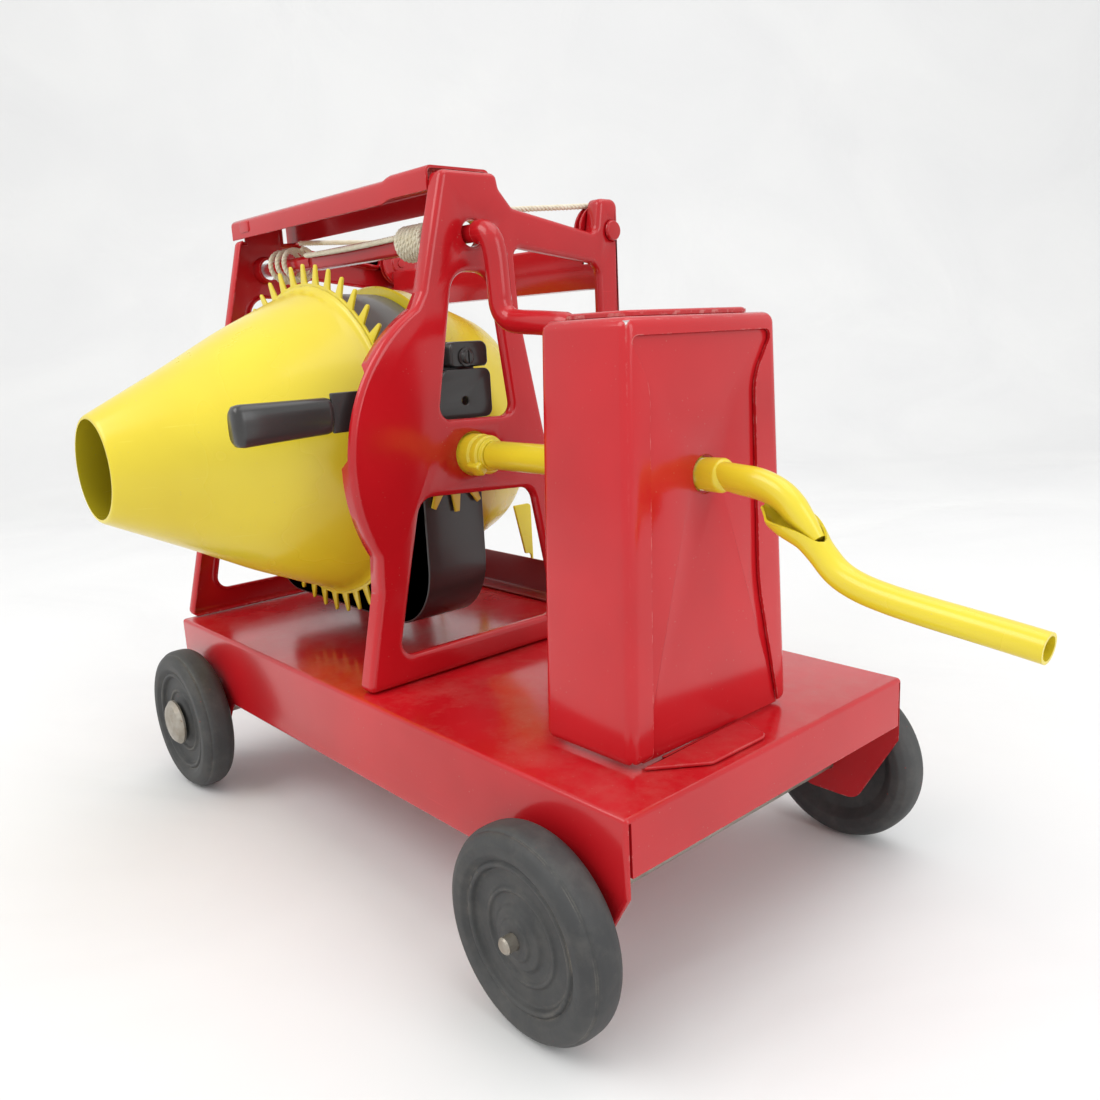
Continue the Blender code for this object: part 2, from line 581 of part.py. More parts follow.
def build_yoke():
    """U-shaped strap that carries the drum's hoop, with the tilt lever on its near leg."""
    inner_x = 0.0
    t = 1.2
    far = 2.0 * DRUM_X - inner_x
    top = 187.0
    low = 79.6
    outer = [(inner_x + t, top, 0.0), (inner_x + t, low, 25.0), (far - t, low, 25.0), (far - t, top, 0.0)]
    inner = [(far, top, 0.0), (far, low + t, 23.8), (inner_x, low + t, 23.8), (inner_x, top, 0.0)]
    strap = make("yoke_strap", prism([rounded(outer + inner, 6)], along_y, TILT_Y - 13.2, TILT_Y + 13.6),
        BLACK_PAINT)
    for index, x in enumerate((inner_x, far)):
        bore = lathe([(-4.0, 0.0), (-4.0, 3.0 + GAP), (4.0, 3.0 + GAP), (4.0, 0.0)], (x, TILT_Y, TILT_Z),
            (1, 0, 0), 24)
        cut(strap, bore, "cut_yoke_bore_%d" % index)
    cut(strap, lathe([(-4.0, 0.0), (-4.0, 1.6), (4.0, 1.6), (4.0, 0.0)], (inner_x, -6.2, 181.4),
        (1, 0, 0), 16), "cut_yoke_screw")
    for name, x0, x1 in (("near", inner_x - GAP, DRUM_X + 58.2 + GAP),
        ("far", far + GAP, DRUM_X - 58.2 - GAP)):
        low_x, high_x = sorted((x0, x1))
        pad = rounded([(TILT_Y - 9.0, TILT_Z - 6.0, 2.0), (TILT_Y + 9.0, TILT_Z - 6.0, 2.0),
            (TILT_Y + 9.0, TILT_Z + 6.0, 2.0), (TILT_Y - 9.0, TILT_Z + 6.0, 2.0)])
        make("hoop_spacer_%s" % name, prism([pad], along_x, low_x, high_x), BLACK_PAINT)
    lever = [(-63.6, 159.4, 1.0), (3.4, 159.4, 3.0), (3.4, 177.2, 3.0), (-17.2, 177.2, 3.0),
        (-20.0, 172.6, 3.0), (-63.6, 172.6, 1.0)]
    bar = make("tilt_lever_bar", prism([rounded(lever)], along_x, 7.0, 8.4), BLACK_PAINT)
    bevel_sharp(bar, 0.4, 1, 60.0)
    block = rounded([(-13.0, 177.8, 2.0), (4.0, 177.8, 2.0), (4.0, 187.0, 3.0), (-13.0, 187.0, 3.0)])
    boss = make("lever_block", prism([block], along_x, inner_x + t + GAP, 6.6), BLACK_PAINT)
    cut(boss, lathe([(-9.0, 0.0), (-9.0, 1.6), (9.0, 1.6), (9.0, 0.0)], (4.0, -6.2, 181.4), (1, 0, 0),
        16), "cut_block_screw")
    bevel_sharp(boss, 0.5, 1, 60.0)
    spacer = rounded([(-16.0, 171.2, 1.0), (2.4, 171.2, 1.0), (2.4, 177.0, 1.0), (-16.0, 177.0, 1.0)])
    make("lever_foot", prism([spacer], along_x, inner_x + t + GAP, 7.0 - GAP), BLACK_PAINT)
    head = [(-3.4, 0.0), (-3.4, 1.3), (0.3, 1.3), (0.3, 3.4), (1.0, 3.4), (1.9, 2.2), (1.9, 0.0)]
    make("lever_screw", lathe([(a + 6.6, r) for a, r in head], (0.0, -6.2, 181.4), (1, 0, 0), 24),
        STEEL_LOOK)
    grip = []
    for along, high, wide in ((-64.0, 6.0, 3.4), (-65.4, 6.5, 3.9), (-80.0, 6.7, 4.2), (-95.0, 6.9, 4.4),
        (-97.2, 6.2, 3.8), (-98.2, 4.2, 2.4)):
        grip.append((along, high, wide))
    bm = bmesh.new()
    rings = []
    for along, high, wide in grip:
        ring = []
        for step in range(16):
            turn = math.tau * step / 16
            ring.append(bm.verts.new((7.6 + wide * math.cos(turn), along, 165.4 + high * math.sin(turn))))
        rings.append(ring)
    for one, two in zip(rings, rings[1:]):
        for step in range(16):
            after = (step + 1) % 16
            bm.faces.new((one[step], one[after], two[after], two[step]))
    bm.faces.new(rings[0])
    bm.faces.new(rings[-1])
    make("tilt_lever_grip", bm, BLACK_PAINT)
    pin = [(0.0, 0.0), (0.0, 5.0), (1.2, 5.0), (1.5, 3.0), (17.0, 3.0), (17.0, 0.0)]
    make("far_pivot_pin", lathe(pin, (FAR_X - 1.5, TILT_Y, TILT_Z), (1, 0, 0), 24), STEEL_LOOK)


def build_crank():
    pivot = (0.0, TILT_Y, TILT_Z)
    phase = math.pi + math.pi / PINION_TEETH
    phase -= math.asin((DRUM_Z - TILT_Z) / (TILT_Y - RING_Y))
    fingers = finger_disc(PINION_TEETH, PINION_ROOT_R, PINION_TIP_R, 2.2, 1.0, phase)

    def on_shaft(u, v, depth):
        return Vector((depth, TILT_Y + u, TILT_Z + v))

    make("pinion_gear", prism([fingers, circle(3.1 + GAP, 24)], on_shaft, 2.0, 3.0), YELLOW_PAINT, pivot)
    stub = [(0.1, 0.0), (0.1, 3.0), (3.4, 3.0), (3.4, 6.0), (12.4, 6.0), (12.4, 0.0)]
    make("crank_stub", lathe(stub, pivot, (1, 0, 0), 24), YELLOW_PAINT, pivot)
    collar = [(12.7, 0.0), (12.7, 6.9), (13.2, 7.2), (26.0, 7.2), (27.0, 6.4), (27.0, 0.0)]
    make("crank_collar", lathe(collar, pivot, (1, 0, 0), 32), YELLOW_PAINT, pivot)
    shaft = [(27.0 + GAP, 0.0), (27.0 + GAP, 5.0), (120.2, 5.0), (120.2, 0.0)]
    make("crank_shaft", lathe(shaft, pivot, (1, 0, 0), 24), YELLOW_PAINT, pivot)
    arm = [(120.2 + GAP, TILT_Y, TILT_Z), (129.0, TILT_Y, TILT_Z), (137.0, TILT_Y, 146.8),
        (143.0, TILT_Y, 145.0), (148.5, TILT_Y, 142.0)]
    path = smooth_path(arm, 4)
    radii = [4.5 if point.x < 129.5 else 3.7 for point in path]
    make("crank_arm", tube(path, 3.7, 12, radii), YELLOW_PAINT, pivot)
    handle = [(148.9, TILT_Y, 141.7), (153.6, TILT_Y, 137.9), (158.8, TILT_Y, 131.9),
        (165.5, TILT_Y, 126.0), (174.0, TILT_Y, 122.0), (184.0, TILT_Y, 119.9), (198.5, TILT_Y, 118.0),
        (215.5, TILT_Y, 115.9)]
    path = smooth_path(handle, 3)
    make("crank_handle", tube(path, 3.8, 12), YELLOW_PAINT, pivot)


def coil(x0, x1, radius, turns, steps, y, z):
    path = []
    count = int(turns * steps)
    for step in range(count + 1):
        turn = math.tau * step / steps
        path.append((x0 + (x1 - x0) * step / count, y - radius * math.sin(turn),
            z + radius * math.cos(turn)))
    return path


def build_winch():
    pivot = (0.0, WINCH_Y, WINCH_Z)
    bar = [(FAR_X - 3.0, 2.6), (FAR_X - 2.4, 3.1), (-96.0, 3.1), (-94.0, 3.6), (-27.0, 3.6), (-25.0, 3.1),
        (19.0, 3.1)]
    profile = [(bar[0][0], 0.0), *bar, (19.0, 0.0)]
    make("winch_bar", lathe(profile, pivot, (1, 0, 0), 24), RED_PAINT, pivot)
    y, z = WINCH_Y, WINCH_Z
    bend = [(19.0 + GAP, y, z), (22.4, y, z - 0.2), (25.2, y + 0.1, z - 2.4), (26.4, y + 0.4, z - 6.0),
        (26.8, y + 0.8, z - 14.0), (27.2, y + 1.2, z - 22.0)]
    make("winch_crank", tube(smooth_path(bend, 2), 4.0, 12), RED_PAINT, pivot)
    grip = [(27.2, y + 1.3, z - 22.4), (28.0, y + 1.7, z - 26.4), (31.4, y + 2.2, z - 29.6),
        (37.0, y + 2.6, z - 31.0), (60.0, y + 3.6, z - 33.0)]
    make("winch_handle", tube(smooth_path(grip, 2), 4.1, 12), RED_PAINT, pivot)
    far = coil(-124.0, -108.0, ROD_R + ROPE_R + 0.35, 3.0, 10, y, z)
    make("rope_far_turns", tube(far, ROPE_R, 6), ROPE_LOOK, pivot)
    run = [(-95.0 + 35.0 * i, y - 3.6 * 0.8 - ROPE_R * 0.9 - 0.5,
        z + 3.6 * 0.6 + ROPE_R * 0.3) for i in range(3)]
    make("rope_bar_run", tube(run, ROPE_R, 6), ROPE_LOOK, pivot)
    near = coil(-23.6, -8.0, ROD_R + 2.6, 6.5, 9, y, z)
    make("rope_near_coil", tube(near, ROPE_R, 6), ROPE_LOOK, pivot)


def pulley_profile():
    bore = 2.0 + 0.08
    floor = PULLEY_R - 2.4
    groove = [(0.0, PULLEY_R), (0.3, PULLEY_R), (0.8, floor), (PULLEY_T - 0.8, floor),
        (PULLEY_T - 0.3, PULLEY_R)]
    return [(0.0, bore), *groove, (PULLEY_T, PULLEY_R), (PULLEY_T, bore)]


def build_pulley(side, x, face, outward, coil_x):
    """One pulley, its pin through the post, and its rope from the winch down to the skip's crossbar."""
    pivot = (x, PULLEY_Y, PULLEY_Z)
    make("pulley_%s" % side, lathe(pulley_profile(), pivot, (1, 0, 0), 28, True), RED_PAINT, pivot)
    reach = abs(face - x - PULLEY_T / 2.0) + PULLEY_T / 2.0 + 0.6
    pin = [(-1.6, 0.0), (-1.6, 3.4), (-0.7, 4.0), (-GAP, 4.0), (-GAP, 2.0), (reach, 2.0), (reach, 0.0)]
    make("pulley_pin_%s" % side, lathe(pin, (face, PULLEY_Y, PULLEY_Z), (-outward, 0, 0), 16), RED_PAINT)
    groove = x + PULLEY_T / 2.0
    lift = PULLEY_R - 2.4 + ROPE_R + GAP
    lead = [(coil_x, WINCH_Y + 1.0, WINCH_Z + 9.0), ((groove + coil_x) * 0.5, 27.0, WINCH_Z + 11.4)]
    lead += [(groove, PULLEY_Y - 3.0, PULLEY_Z + lift + 0.5)]
    arc = []
    for step in range(5):
        turn = math.pi / 2.0 - math.pi / 2.0 * step / 4
        arc.append((groove, PULLEY_Y + lift * math.cos(turn), PULLEY_Z + lift * math.sin(turn)))
    make("rope_lead_%s" % side, tube(smooth_path(lead, 4) + arc, ROPE_R, 6), ROPE_LOOK)
    eye_z = BAR_HIGH + GAP + 2.4
    top, bottom = PULLEY_Z - GAP, eye_z + 2.4 + GAP
    strand = [(groove, PULLEY_Y + lift, top + (bottom - top) * i / 4) for i in range(5)]
    make("rope_strand_%s" % side, tube(strand, ROPE_R, 6), ROPE_LOOK)
    eye = [(-2.2, 0.0), (-2.2, 2.4), (2.2, 2.4), (2.2, 0.0)]
    make("skip_lug_%s" % side, lathe(eye, (groove, PULLEY_Y + lift, eye_z), (1, 0, 0), 16), YELLOW_PAINT)


def build_skip():
    """Loading skip on its crossbar, with the two guide plates that ride over the deck's rear rail."""
    bar = [(69.5, BAR_LOW, 0.8), (73.7, BAR_LOW, 0.8), (73.7, BAR_HIGH, 0.8), (69.5, BAR_HIGH, 0.8)]
    solid = prism([rounded(bar, 3)], along_x, PULLEY_FAR_X - 0.4, PULLEY_NEAR_X + PULLEY_T + 0.4)
    make("skip_crossbar", solid, YELLOW_PAINT)
    x0, x1 = SKIP_FAR_X, SKIP_NEAR_X
    section = [(69.5, BAR_LOW - GAP, 0.0), (69.5, 14.0, 6.0), (92.0, 14.0, 8.0), (121.0, 60.0, 0.6)]
    bucket = make("skip_bucket", prism([rounded(section, 5)], along_x, x0, x1), YELLOW_PAINT)
    inside = [(70.7, 75.0, 0.0), (70.7, 15.2, 4.8), (91.4, 15.2, 6.8), (129.0, 75.0, 0.0)]
    cut(bucket, prism([rounded(inside, 5)], along_x, x0 + 1.2, x1 - 1.2), "cut_skip_inside")
    for name, x in (("near", SKIP_NEAR_X - 6.5), ("far", SKIP_FAR_X - 4.1)):
        cheek = [(59.0, 111.0, 0.5), (64.6, 87.2, 1.0), (68.2, 87.2, 2.0), (68.2, 40.0, 0.4),
            (69.2, 40.0, 0.4), (69.2, 111.0, 2.0)]
        make("skip_guide_%s" % name, prism([rounded(cheek)], along_x, x - 1.2, x), YELLOW_PAINT)


clear_scene()
build_deck()
build_side("side_frame_near", NEAR_X, -1.0, True)
build_side("side_frame_far", FAR_X, 1.0, False)
build_channel()
build_cross()
build_housing()
build_wheels()
build_drum()
build_yoke()
build_crank()
build_winch()
build_pulley("near", PULLEY_NEAR_X, NEAR_X, 1.0, -9.5)
build_pulley("far", PULLEY_FAR_X, FAR_X, -1.0, -109.0)
build_skip()
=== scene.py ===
"""Looks of the pressed-steel toy concrete mixer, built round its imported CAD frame.

Shapes are in millimetres from the middle of the deck, on the floor: X towards the crank handle, Y from the
drum's mouth towards the skip, Z up. piece() turns them into the row frame's metres.
"""

import json
import math

import bmesh
import bpy
from mathutils import Matrix, Vector


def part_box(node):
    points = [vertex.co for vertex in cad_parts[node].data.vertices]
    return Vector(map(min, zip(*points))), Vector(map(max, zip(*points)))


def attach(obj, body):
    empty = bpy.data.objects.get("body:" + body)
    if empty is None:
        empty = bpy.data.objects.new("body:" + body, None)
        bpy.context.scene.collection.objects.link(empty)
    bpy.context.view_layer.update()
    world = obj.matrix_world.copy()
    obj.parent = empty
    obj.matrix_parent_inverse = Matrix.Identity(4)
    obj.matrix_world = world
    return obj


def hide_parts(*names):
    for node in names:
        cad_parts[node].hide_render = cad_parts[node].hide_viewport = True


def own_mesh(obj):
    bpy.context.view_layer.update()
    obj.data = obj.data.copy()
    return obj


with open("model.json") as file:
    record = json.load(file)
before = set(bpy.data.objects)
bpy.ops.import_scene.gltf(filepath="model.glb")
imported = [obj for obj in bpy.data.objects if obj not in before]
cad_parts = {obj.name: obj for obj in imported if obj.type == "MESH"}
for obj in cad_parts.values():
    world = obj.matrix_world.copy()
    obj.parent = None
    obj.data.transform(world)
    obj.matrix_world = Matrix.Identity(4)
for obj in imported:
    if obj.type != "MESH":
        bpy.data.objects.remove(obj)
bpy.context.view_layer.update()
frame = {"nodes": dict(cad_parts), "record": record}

MM = 0.001


def middle(node):
    """Centre of a CAD node's box, in the row frame."""
    low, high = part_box(node)
    return (low + high) / 2.0


DECK = middle("deck_tray")
SHIFT = Vector((DECK.x, DECK.y, 0.0))


def mm_box(node):
    """Lowest and highest corner of a CAD node in this script's millimetres."""
    low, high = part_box(node)
    return (low - SHIFT) / MM, (high - SHIFT) / MM


def mm_middle(node):
    """X, Y and Z of the middle of a CAD node's box, in this script's millimetres."""
    low, high = mm_box(node)
    return (low.x + high.x) / 2.0, (low.y + high.y) / 2.0, (low.z + high.z) / 2.0


# ---------------------------------------------------------------- camera, lights and floor

EYE = Vector((295.4, -224.9, 187.3))
YAW = math.radians(138.58)
PITCH = math.radians(12.38)
ROLL = math.radians(-2.87)
LENS = 31.87


def build_camera():
    forward = Vector((math.cos(YAW) * math.cos(PITCH), math.sin(YAW) * math.cos(PITCH), -math.sin(PITCH)))
    level = Vector((math.sin(YAW), -math.cos(YAW), 0.0))
    rise = level.cross(forward)
    right = level * math.cos(ROLL) + rise * math.sin(ROLL)
    up = rise * math.cos(ROLL) - level * math.sin(ROLL)
    data = bpy.data.cameras.new("camera")
    data.lens = LENS
    data.sensor_width = 36.0
    data.clip_start = 0.01
    data.clip_end = 50.0
    camera = bpy.data.objects.new("camera", data)
    turn = Matrix((right, up, -forward)).transposed()
    camera.matrix_world = Matrix.Translation(EYE * MM + SHIFT) @ turn.to_4x4()
    bpy.context.scene.collection.objects.link(camera)
    bpy.context.scene.camera = camera


def area_light(name, place, target, size, power, colour):
    data = bpy.data.lights.new(name, "AREA")
    data.shape = "RECTANGLE"
    data.size, data.size_y = size
    data.energy = power
    data.color = colour
    lamp = bpy.data.objects.new(name, data)
    lamp.location = place
    lamp.rotation_mode = "QUATERNION"
    lamp.rotation_quaternion = (Vector(target) - Vector(place)).to_track_quat("-Z", "Y")
    bpy.context.scene.collection.objects.link(lamp)


def build_lights():
    world = bpy.data.worlds.new("studio")
    world.use_nodes = True
    back = world.node_tree.nodes["Background"]
    back.inputs["Color"].default_value = (0.90, 0.905, 0.90, 1.0)
    back.inputs["Strength"].default_value = 1.0
    bpy.context.scene.world = world
    bpy.context.scene.view_settings.view_transform = "Standard"
    area_light("key", (-0.35, -0.95, 1.25), (0.0, 0.0, 0.1), (1.0, 0.8), 8.0, (1.0, 0.985, 0.96))
    area_light("top", (0.25, 0.30, 1.5), (0.0, 0.0, 0.1), (1.4, 1.0), 6.0, (1.0, 1.0, 1.0))
    area_light("side", (1.3, 0.1, 0.7), (0.0, 0.0, 0.12), (0.7, 0.9), 4.5, (0.97, 0.985, 1.0))


def build_floor():
    """Pale cloth floor with faint folds; behind the toy it sweeps up into a backdrop."""
    away = Vector((math.cos(YAW), math.sin(YAW), 0.0))
    across = Vector((-away.y, away.x, 0.0))
    flat_end, bend, wall = 0.95, 0.55, 2.4
    stations = [(-1.6 + (flat_end + 1.6) * step / 90, 0.0) for step in range(91)]
    stations += [(flat_end + bend * math.sin(turn), bend * (1.0 - math.cos(turn)))
        for turn in [math.pi / 2.0 * step / 16 for step in range(1, 17)]]
    stations += [(flat_end + bend, bend + (wall - bend) * step / 6) for step in range(1, 7)]
    bm = bmesh.new()
    rows = []
    for along, height in stations:
        base = away * along + Vector((0.0, 0.0, height))
        rows.append([bm.verts.new(base + across * (2.4 * (2.0 * step / 110 - 1.0))) for step in range(111)])
    for one, two in zip(rows, rows[1:]):
        for step in range(110):
            bm.faces.new((one[step], two[step], two[step + 1], one[step + 1]))
    bmesh.ops.recalc_face_normals(bm, faces=bm.faces)
    mesh = bpy.data.meshes.new("floor")
    bm.to_mesh(mesh)
    bm.free()
    mesh.shade_smooth()
    mesh.materials.append(floor_material())
    floor = bpy.data.objects.new("floor", mesh)
    bpy.context.scene.collection.objects.link(floor)


# ---------------------------------------------------------------- materials


class Graph:
    """Short names for building a shader's node tree."""

    def __init__(self, name):
        self.material = bpy.data.materials.new(name)
        self.material.use_nodes = True
        self.tree = self.material.node_tree
        self.shader = self.tree.nodes["Principled BSDF"]
        self.coords = self.tree.nodes.new("ShaderNodeTexCoord").outputs["Object"]

    def link(self, source, target):
        self.tree.links.new(source, target)

    def put(self, value, socket):
        if isinstance(value, bpy.types.NodeSocket):
            self.link(value, socket)
        else:
            socket.default_value = value

    def noise(self, scale, detail=3.0, rough=0.5, stretch=(1.0, 1.0, 1.0), distortion=0.0):
        mapping = self.tree.nodes.new("ShaderNodeMapping")
        mapping.inputs["Scale"].default_value = stretch
        self.link(self.coords, mapping.inputs["Vector"])
        node = self.tree.nodes.new("ShaderNodeTexNoise")
        node.inputs["Scale"].default_value = scale
        node.inputs["Detail"].default_value = detail
        node.inputs["Roughness"].default_value = rough
        node.inputs["Distortion"].default_value = distortion
        self.link(mapping.outputs["Vector"], node.inputs["Vector"])
        return node.outputs["Fac"]

    def specks(self, scale, size):
        """1 inside small scattered dots, 0 elsewhere."""
        node = self.tree.nodes.new("ShaderNodeTexVoronoi")
        node.inputs["Scale"].default_value = scale
        self.link(self.coords, node.inputs["Vector"])
        return self.ramp(node.outputs["Distance"], size, size * 0.6)

    def ramp(self, value, low, high):
        """Value stretched so that low gives 0 and high gives 1."""
        node = self.tree.nodes.new("ShaderNodeMapRange")
        node.inputs["From Min"].default_value = low
        node.inputs["From Max"].default_value = high
        self.put(value, node.inputs["Value"])
        return node.outputs["Result"]

    def math(self, kind, one, two=0.0):
        node = self.tree.nodes.new("ShaderNodeMath")
        node.operation = kind
        node.use_clamp = kind in ("MULTIPLY", "ADD", "SUBTRACT", "MAXIMUM", "MINIMUM")
        self.put(one, node.inputs[0])
        self.put(two, node.inputs[1])
        return node.outputs[0]

    def mix(self, amount, one, two):
        node = self.tree.nodes.new("ShaderNodeMix")
        node.data_type = "RGBA"
        self.put(amount, node.inputs[0])
        self.put(one if isinstance(one, bpy.types.NodeSocket) else (*one, 1.0), node.inputs[6])
        self.put(two if isinstance(two, bpy.types.NodeSocket) else (*two, 1.0), node.inputs[7])
        return node.outputs[2]

    def upward(self):
        """1 on faces that look straight up, 0 on walls."""
        geometry = self.tree.nodes.new("ShaderNodeNewGeometry")
        split = self.tree.nodes.new("ShaderNodeSeparateXYZ")
        self.link(geometry.outputs["Normal"], split.inputs[0])
        return self.ramp(split.outputs["Z"], 0.75, 0.98)

    def edges(self, radius, low=0.02, high=0.12):
        """1 on sharp edges, from how far the rounded normal turns from the true one."""
        bevel = self.tree.nodes.new("ShaderNodeBevel")
        bevel.samples = 4
        bevel.inputs["Radius"].default_value = radius
        geometry = self.tree.nodes.new("ShaderNodeNewGeometry")
        dot = self.tree.nodes.new("ShaderNodeVectorMath")
        dot.operation = "DOT_PRODUCT"
        self.link(bevel.outputs["Normal"], dot.inputs[0])
        self.link(geometry.outputs["Normal"], dot.inputs[1])
        turned = self.math("SUBTRACT", 1.0, dot.outputs["Value"])
        return self.ramp(turned, low, high)

    def axis(self, index):
        split = self.tree.nodes.new("ShaderNodeSeparateXYZ")
        self.link(self.coords, split.inputs[0])
        return split.outputs[index]

    def bump(self, height, strength, distance):
        node = self.tree.nodes.new("ShaderNodeBump")
        node.inputs["Strength"].default_value = strength
        node.inputs["Distance"].default_value = distance
        self.put(height, node.inputs["Height"])
        self.link(node.outputs["Normal"], self.shader.inputs["Normal"])

    def finish(self, colour, roughness, metallic=0.0, coat=0.0, specular=0.5):
        self.put(colour, self.shader.inputs["Base Color"])
        self.put(roughness, self.shader.inputs["Roughness"])
        self.put(metallic, self.shader.inputs["Metallic"])
        self.shader.inputs["Specular IOR Level"].default_value = specular
        self.shader.inputs["Coat Weight"].default_value = coat
        self.shader.inputs["Coat Roughness"].default_value = 0.12
        return self.material


def floor_material():
    g = Graph("floor_cloth")
    folds = g.noise(3.2, 4.0, 0.45, distortion=1.4)
    fine = g.noise(26.0, 3.0, 0.5)
    tone = g.mix(g.ramp(folds, 0.35, 0.7), (0.80, 0.80, 0.80), (0.765, 0.765, 0.77))
    g.bump(g.math("ADD", g.math("MULTIPLY", folds, 0.85), g.math("MULTIPLY", fine, 0.06)), 0.30, 0.03)
    return g.finish(tone, 0.9, specular=0.2)


def enamel(name, base, deep, pale, dust, chip, gloss, dust_amount=0.35, wear=0.8, specular=0.5, coat=0.25):
    """Stoved enamel: tone drift, dust on upward faces, specks, hairline scratches and worn edges."""
    g = Graph(name)
    drift = g.noise(16.0, 3.0)
    tone = g.mix(g.ramp(drift, 0.35, 0.7), base, deep)
    bloom = g.noise(7.0, 4.0, 0.6)
    tone = g.mix(g.math("MULTIPLY", g.ramp(bloom, 0.55, 0.8), 0.35), tone, pale)
    patch = g.ramp(g.noise(60.0, 6.0, 0.7), 0.45, 0.75)
    grime = g.math("MULTIPLY", g.math("MULTIPLY", g.upward(), patch), dust_amount)
    tone = g.mix(grime, tone, dust)
    tone = g.mix(g.math("MULTIPLY", g.specks(420.0, 0.11), g.math("MULTIPLY", patch, 0.6)), tone, dust)
    hair = g.ramp(g.noise(40.0, 2.0, 0.4, (1.2, 1.2, 26.0)), 0.70, 0.74)
    hair = g.math("MULTIPLY", hair, g.ramp(g.noise(22.0, 2.0), 0.52, 0.60))
    tone = g.mix(g.math("MULTIPLY", hair, 0.30), tone, pale)
    rubbed = g.math("MULTIPLY", g.edges(0.0005), g.ramp(g.noise(190.0, 5.0, 0.7), 0.50, 0.62))
    tone = g.mix(g.math("MULTIPLY", rubbed, wear), tone, chip)
    rough = g.math("ADD", gloss, g.math("MULTIPLY", g.math("ADD", grime, rubbed), 0.35))
    rough = g.math("ADD", rough, g.math("MULTIPLY", g.ramp(drift, 0.3, 0.8), 0.08))
    g.bump(g.math("ADD", g.noise(900.0, 2.0), g.math("MULTIPLY", g.noise(60.0, 2.0), 1.5)), 0.10, 0.0003)
    return g.finish(tone, rough, specular=specular, coat=coat)


def rubber():
    g = Graph("old_rubber")
    tone = g.mix(g.ramp(g.noise(30.0, 5.0, 0.6), 0.35, 0.7), (0.040, 0.041, 0.042), (0.062, 0.063, 0.063))
    dusty = g.math("MULTIPLY", g.ramp(g.noise(110.0, 6.0, 0.7), 0.45, 0.8), 0.35)
    tone = g.mix(dusty, tone, (0.17, 0.16, 0.145))
    rubbed = g.math("MULTIPLY", g.edges(0.0012, 0.01, 0.10), g.ramp(g.noise(70.0, 5.0, 0.7), 0.48, 0.68))
    tone = g.mix(g.math("MULTIPLY", rubbed, 0.75), tone, (0.36, 0.32, 0.26))
    tone = g.mix(g.math("MULTIPLY", g.specks(330.0, 0.10), g.ramp(g.noise(35.0, 2.0), 0.58, 0.66)), tone,
        (0.36, 0.02, 0.02))
    rough = g.math("ADD", 0.55, g.math("MULTIPLY", dusty, 0.6))
    g.bump(g.noise(700.0, 4.0, 0.6), 0.25, 0.0003)
    return g.finish(tone, rough, specular=0.35)


def bare_steel():
    g = Graph("dull_steel")
    tone = g.mix(g.ramp(g.noise(120.0, 5.0, 0.6), 0.35, 0.7), (0.46, 0.43, 0.38), (0.30, 0.26, 0.21))
    tone = g.mix(g.ramp(g.noise(260.0, 5.0, 0.7), 0.62, 0.72), tone, (0.20, 0.10, 0.05))
    g.bump(g.noise(800.0, 4.0, 0.6), 0.3, 0.0002)
    return g.finish(tone, g.ramp(g.noise(200.0, 3.0), -0.6, 1.6), metallic=0.85)


def cord():
    g = Graph("cotton_cord")
    tone = g.mix(g.ramp(g.noise(240.0, 4.0, 0.6), 0.35, 0.7), (0.80, 0.76, 0.62), (0.68, 0.62, 0.46))
    g.bump(g.noise(1500.0, 3.0, 0.6), 0.5, 0.0003)
    g.shader.inputs["Sheen Weight"].default_value = 0.3
    return g.finish(tone, 0.85, specular=0.2)


# ---------------------------------------------------------------- mesh helpers


def rounded(corners, steps=6):
    """Closed outline from (x, y, radius) corners, each filleted by an arc."""
    count = len(corners)
    outline = []
    for index in range(count):
        x, y, radius = corners[index]
        here = Vector((x, y))
        before = (Vector(corners[index - 1][:2]) - here).normalized()
        after = (Vector(corners[(index + 1) % count][:2]) - here).normalized()
        half = before.angle(after) / 2.0
        if radius < 0.05 or half > 1.54:
            outline.append((x, y))
            continue
        reach = radius / math.tan(half)
        centre = here + (before + after).normalized() * (radius / math.sin(half))
        start = here + before * reach - centre
        end = here + after * reach - centre
        sweep_angle = math.atan2(start.x * end.y - start.y * end.x, start.dot(end))
        for step in range(steps + 1):
            turn = sweep_angle * step / steps
            cos, sin = math.cos(turn), math.sin(turn)
            outline.append((centre.x + start.x * cos - start.y * sin,
                centre.y + start.x * sin + start.y * cos))
    return outline


def area(outline):
    total = 0.0
    for (x0, y0), (x1, y1) in zip(outline[-1:] + outline[:-1], outline):
        total += x0 * y1 - x1 * y0
    return total / 2.0


def offset(outline, distance):
    """The outline moved outwards by distance, or inwards where it is negative."""
    sign = 1.0 if area(outline) > 0.0 else -1.0
    count = len(outline)
    moved = []
    for index in range(count):
        here = Vector(outline[index])
        one = (here - Vector(outline[index - 1])).normalized()
        two = (Vector(outline[(index + 1) % count]) - here).normalized()
        joint = Vector((one.y + two.y, -one.x - two.x)) * sign
        scale = distance / max(0.3, 0.5 * joint.length_squared)
        moved.append(tuple(here + joint * scale))
    return moved


def bridge(bm, one, two):
    for i in range(len(one)):
        bm.faces.new((one[i - 1], one[i], two[i], two[i - 1]))


def fill(bm, rings):
    """Flat face across closed rings of vertices, the first outside and the rest holes."""
    edges = []
    for verts in rings:
        for i in range(len(verts)):
            pair = (verts[i - 1], verts[i])
            edges.append(bm.edges.get(pair) or bm.edges.new(pair))
    bmesh.ops.triangle_fill(bm, use_beauty=True, use_dissolve=True, edges=edges)


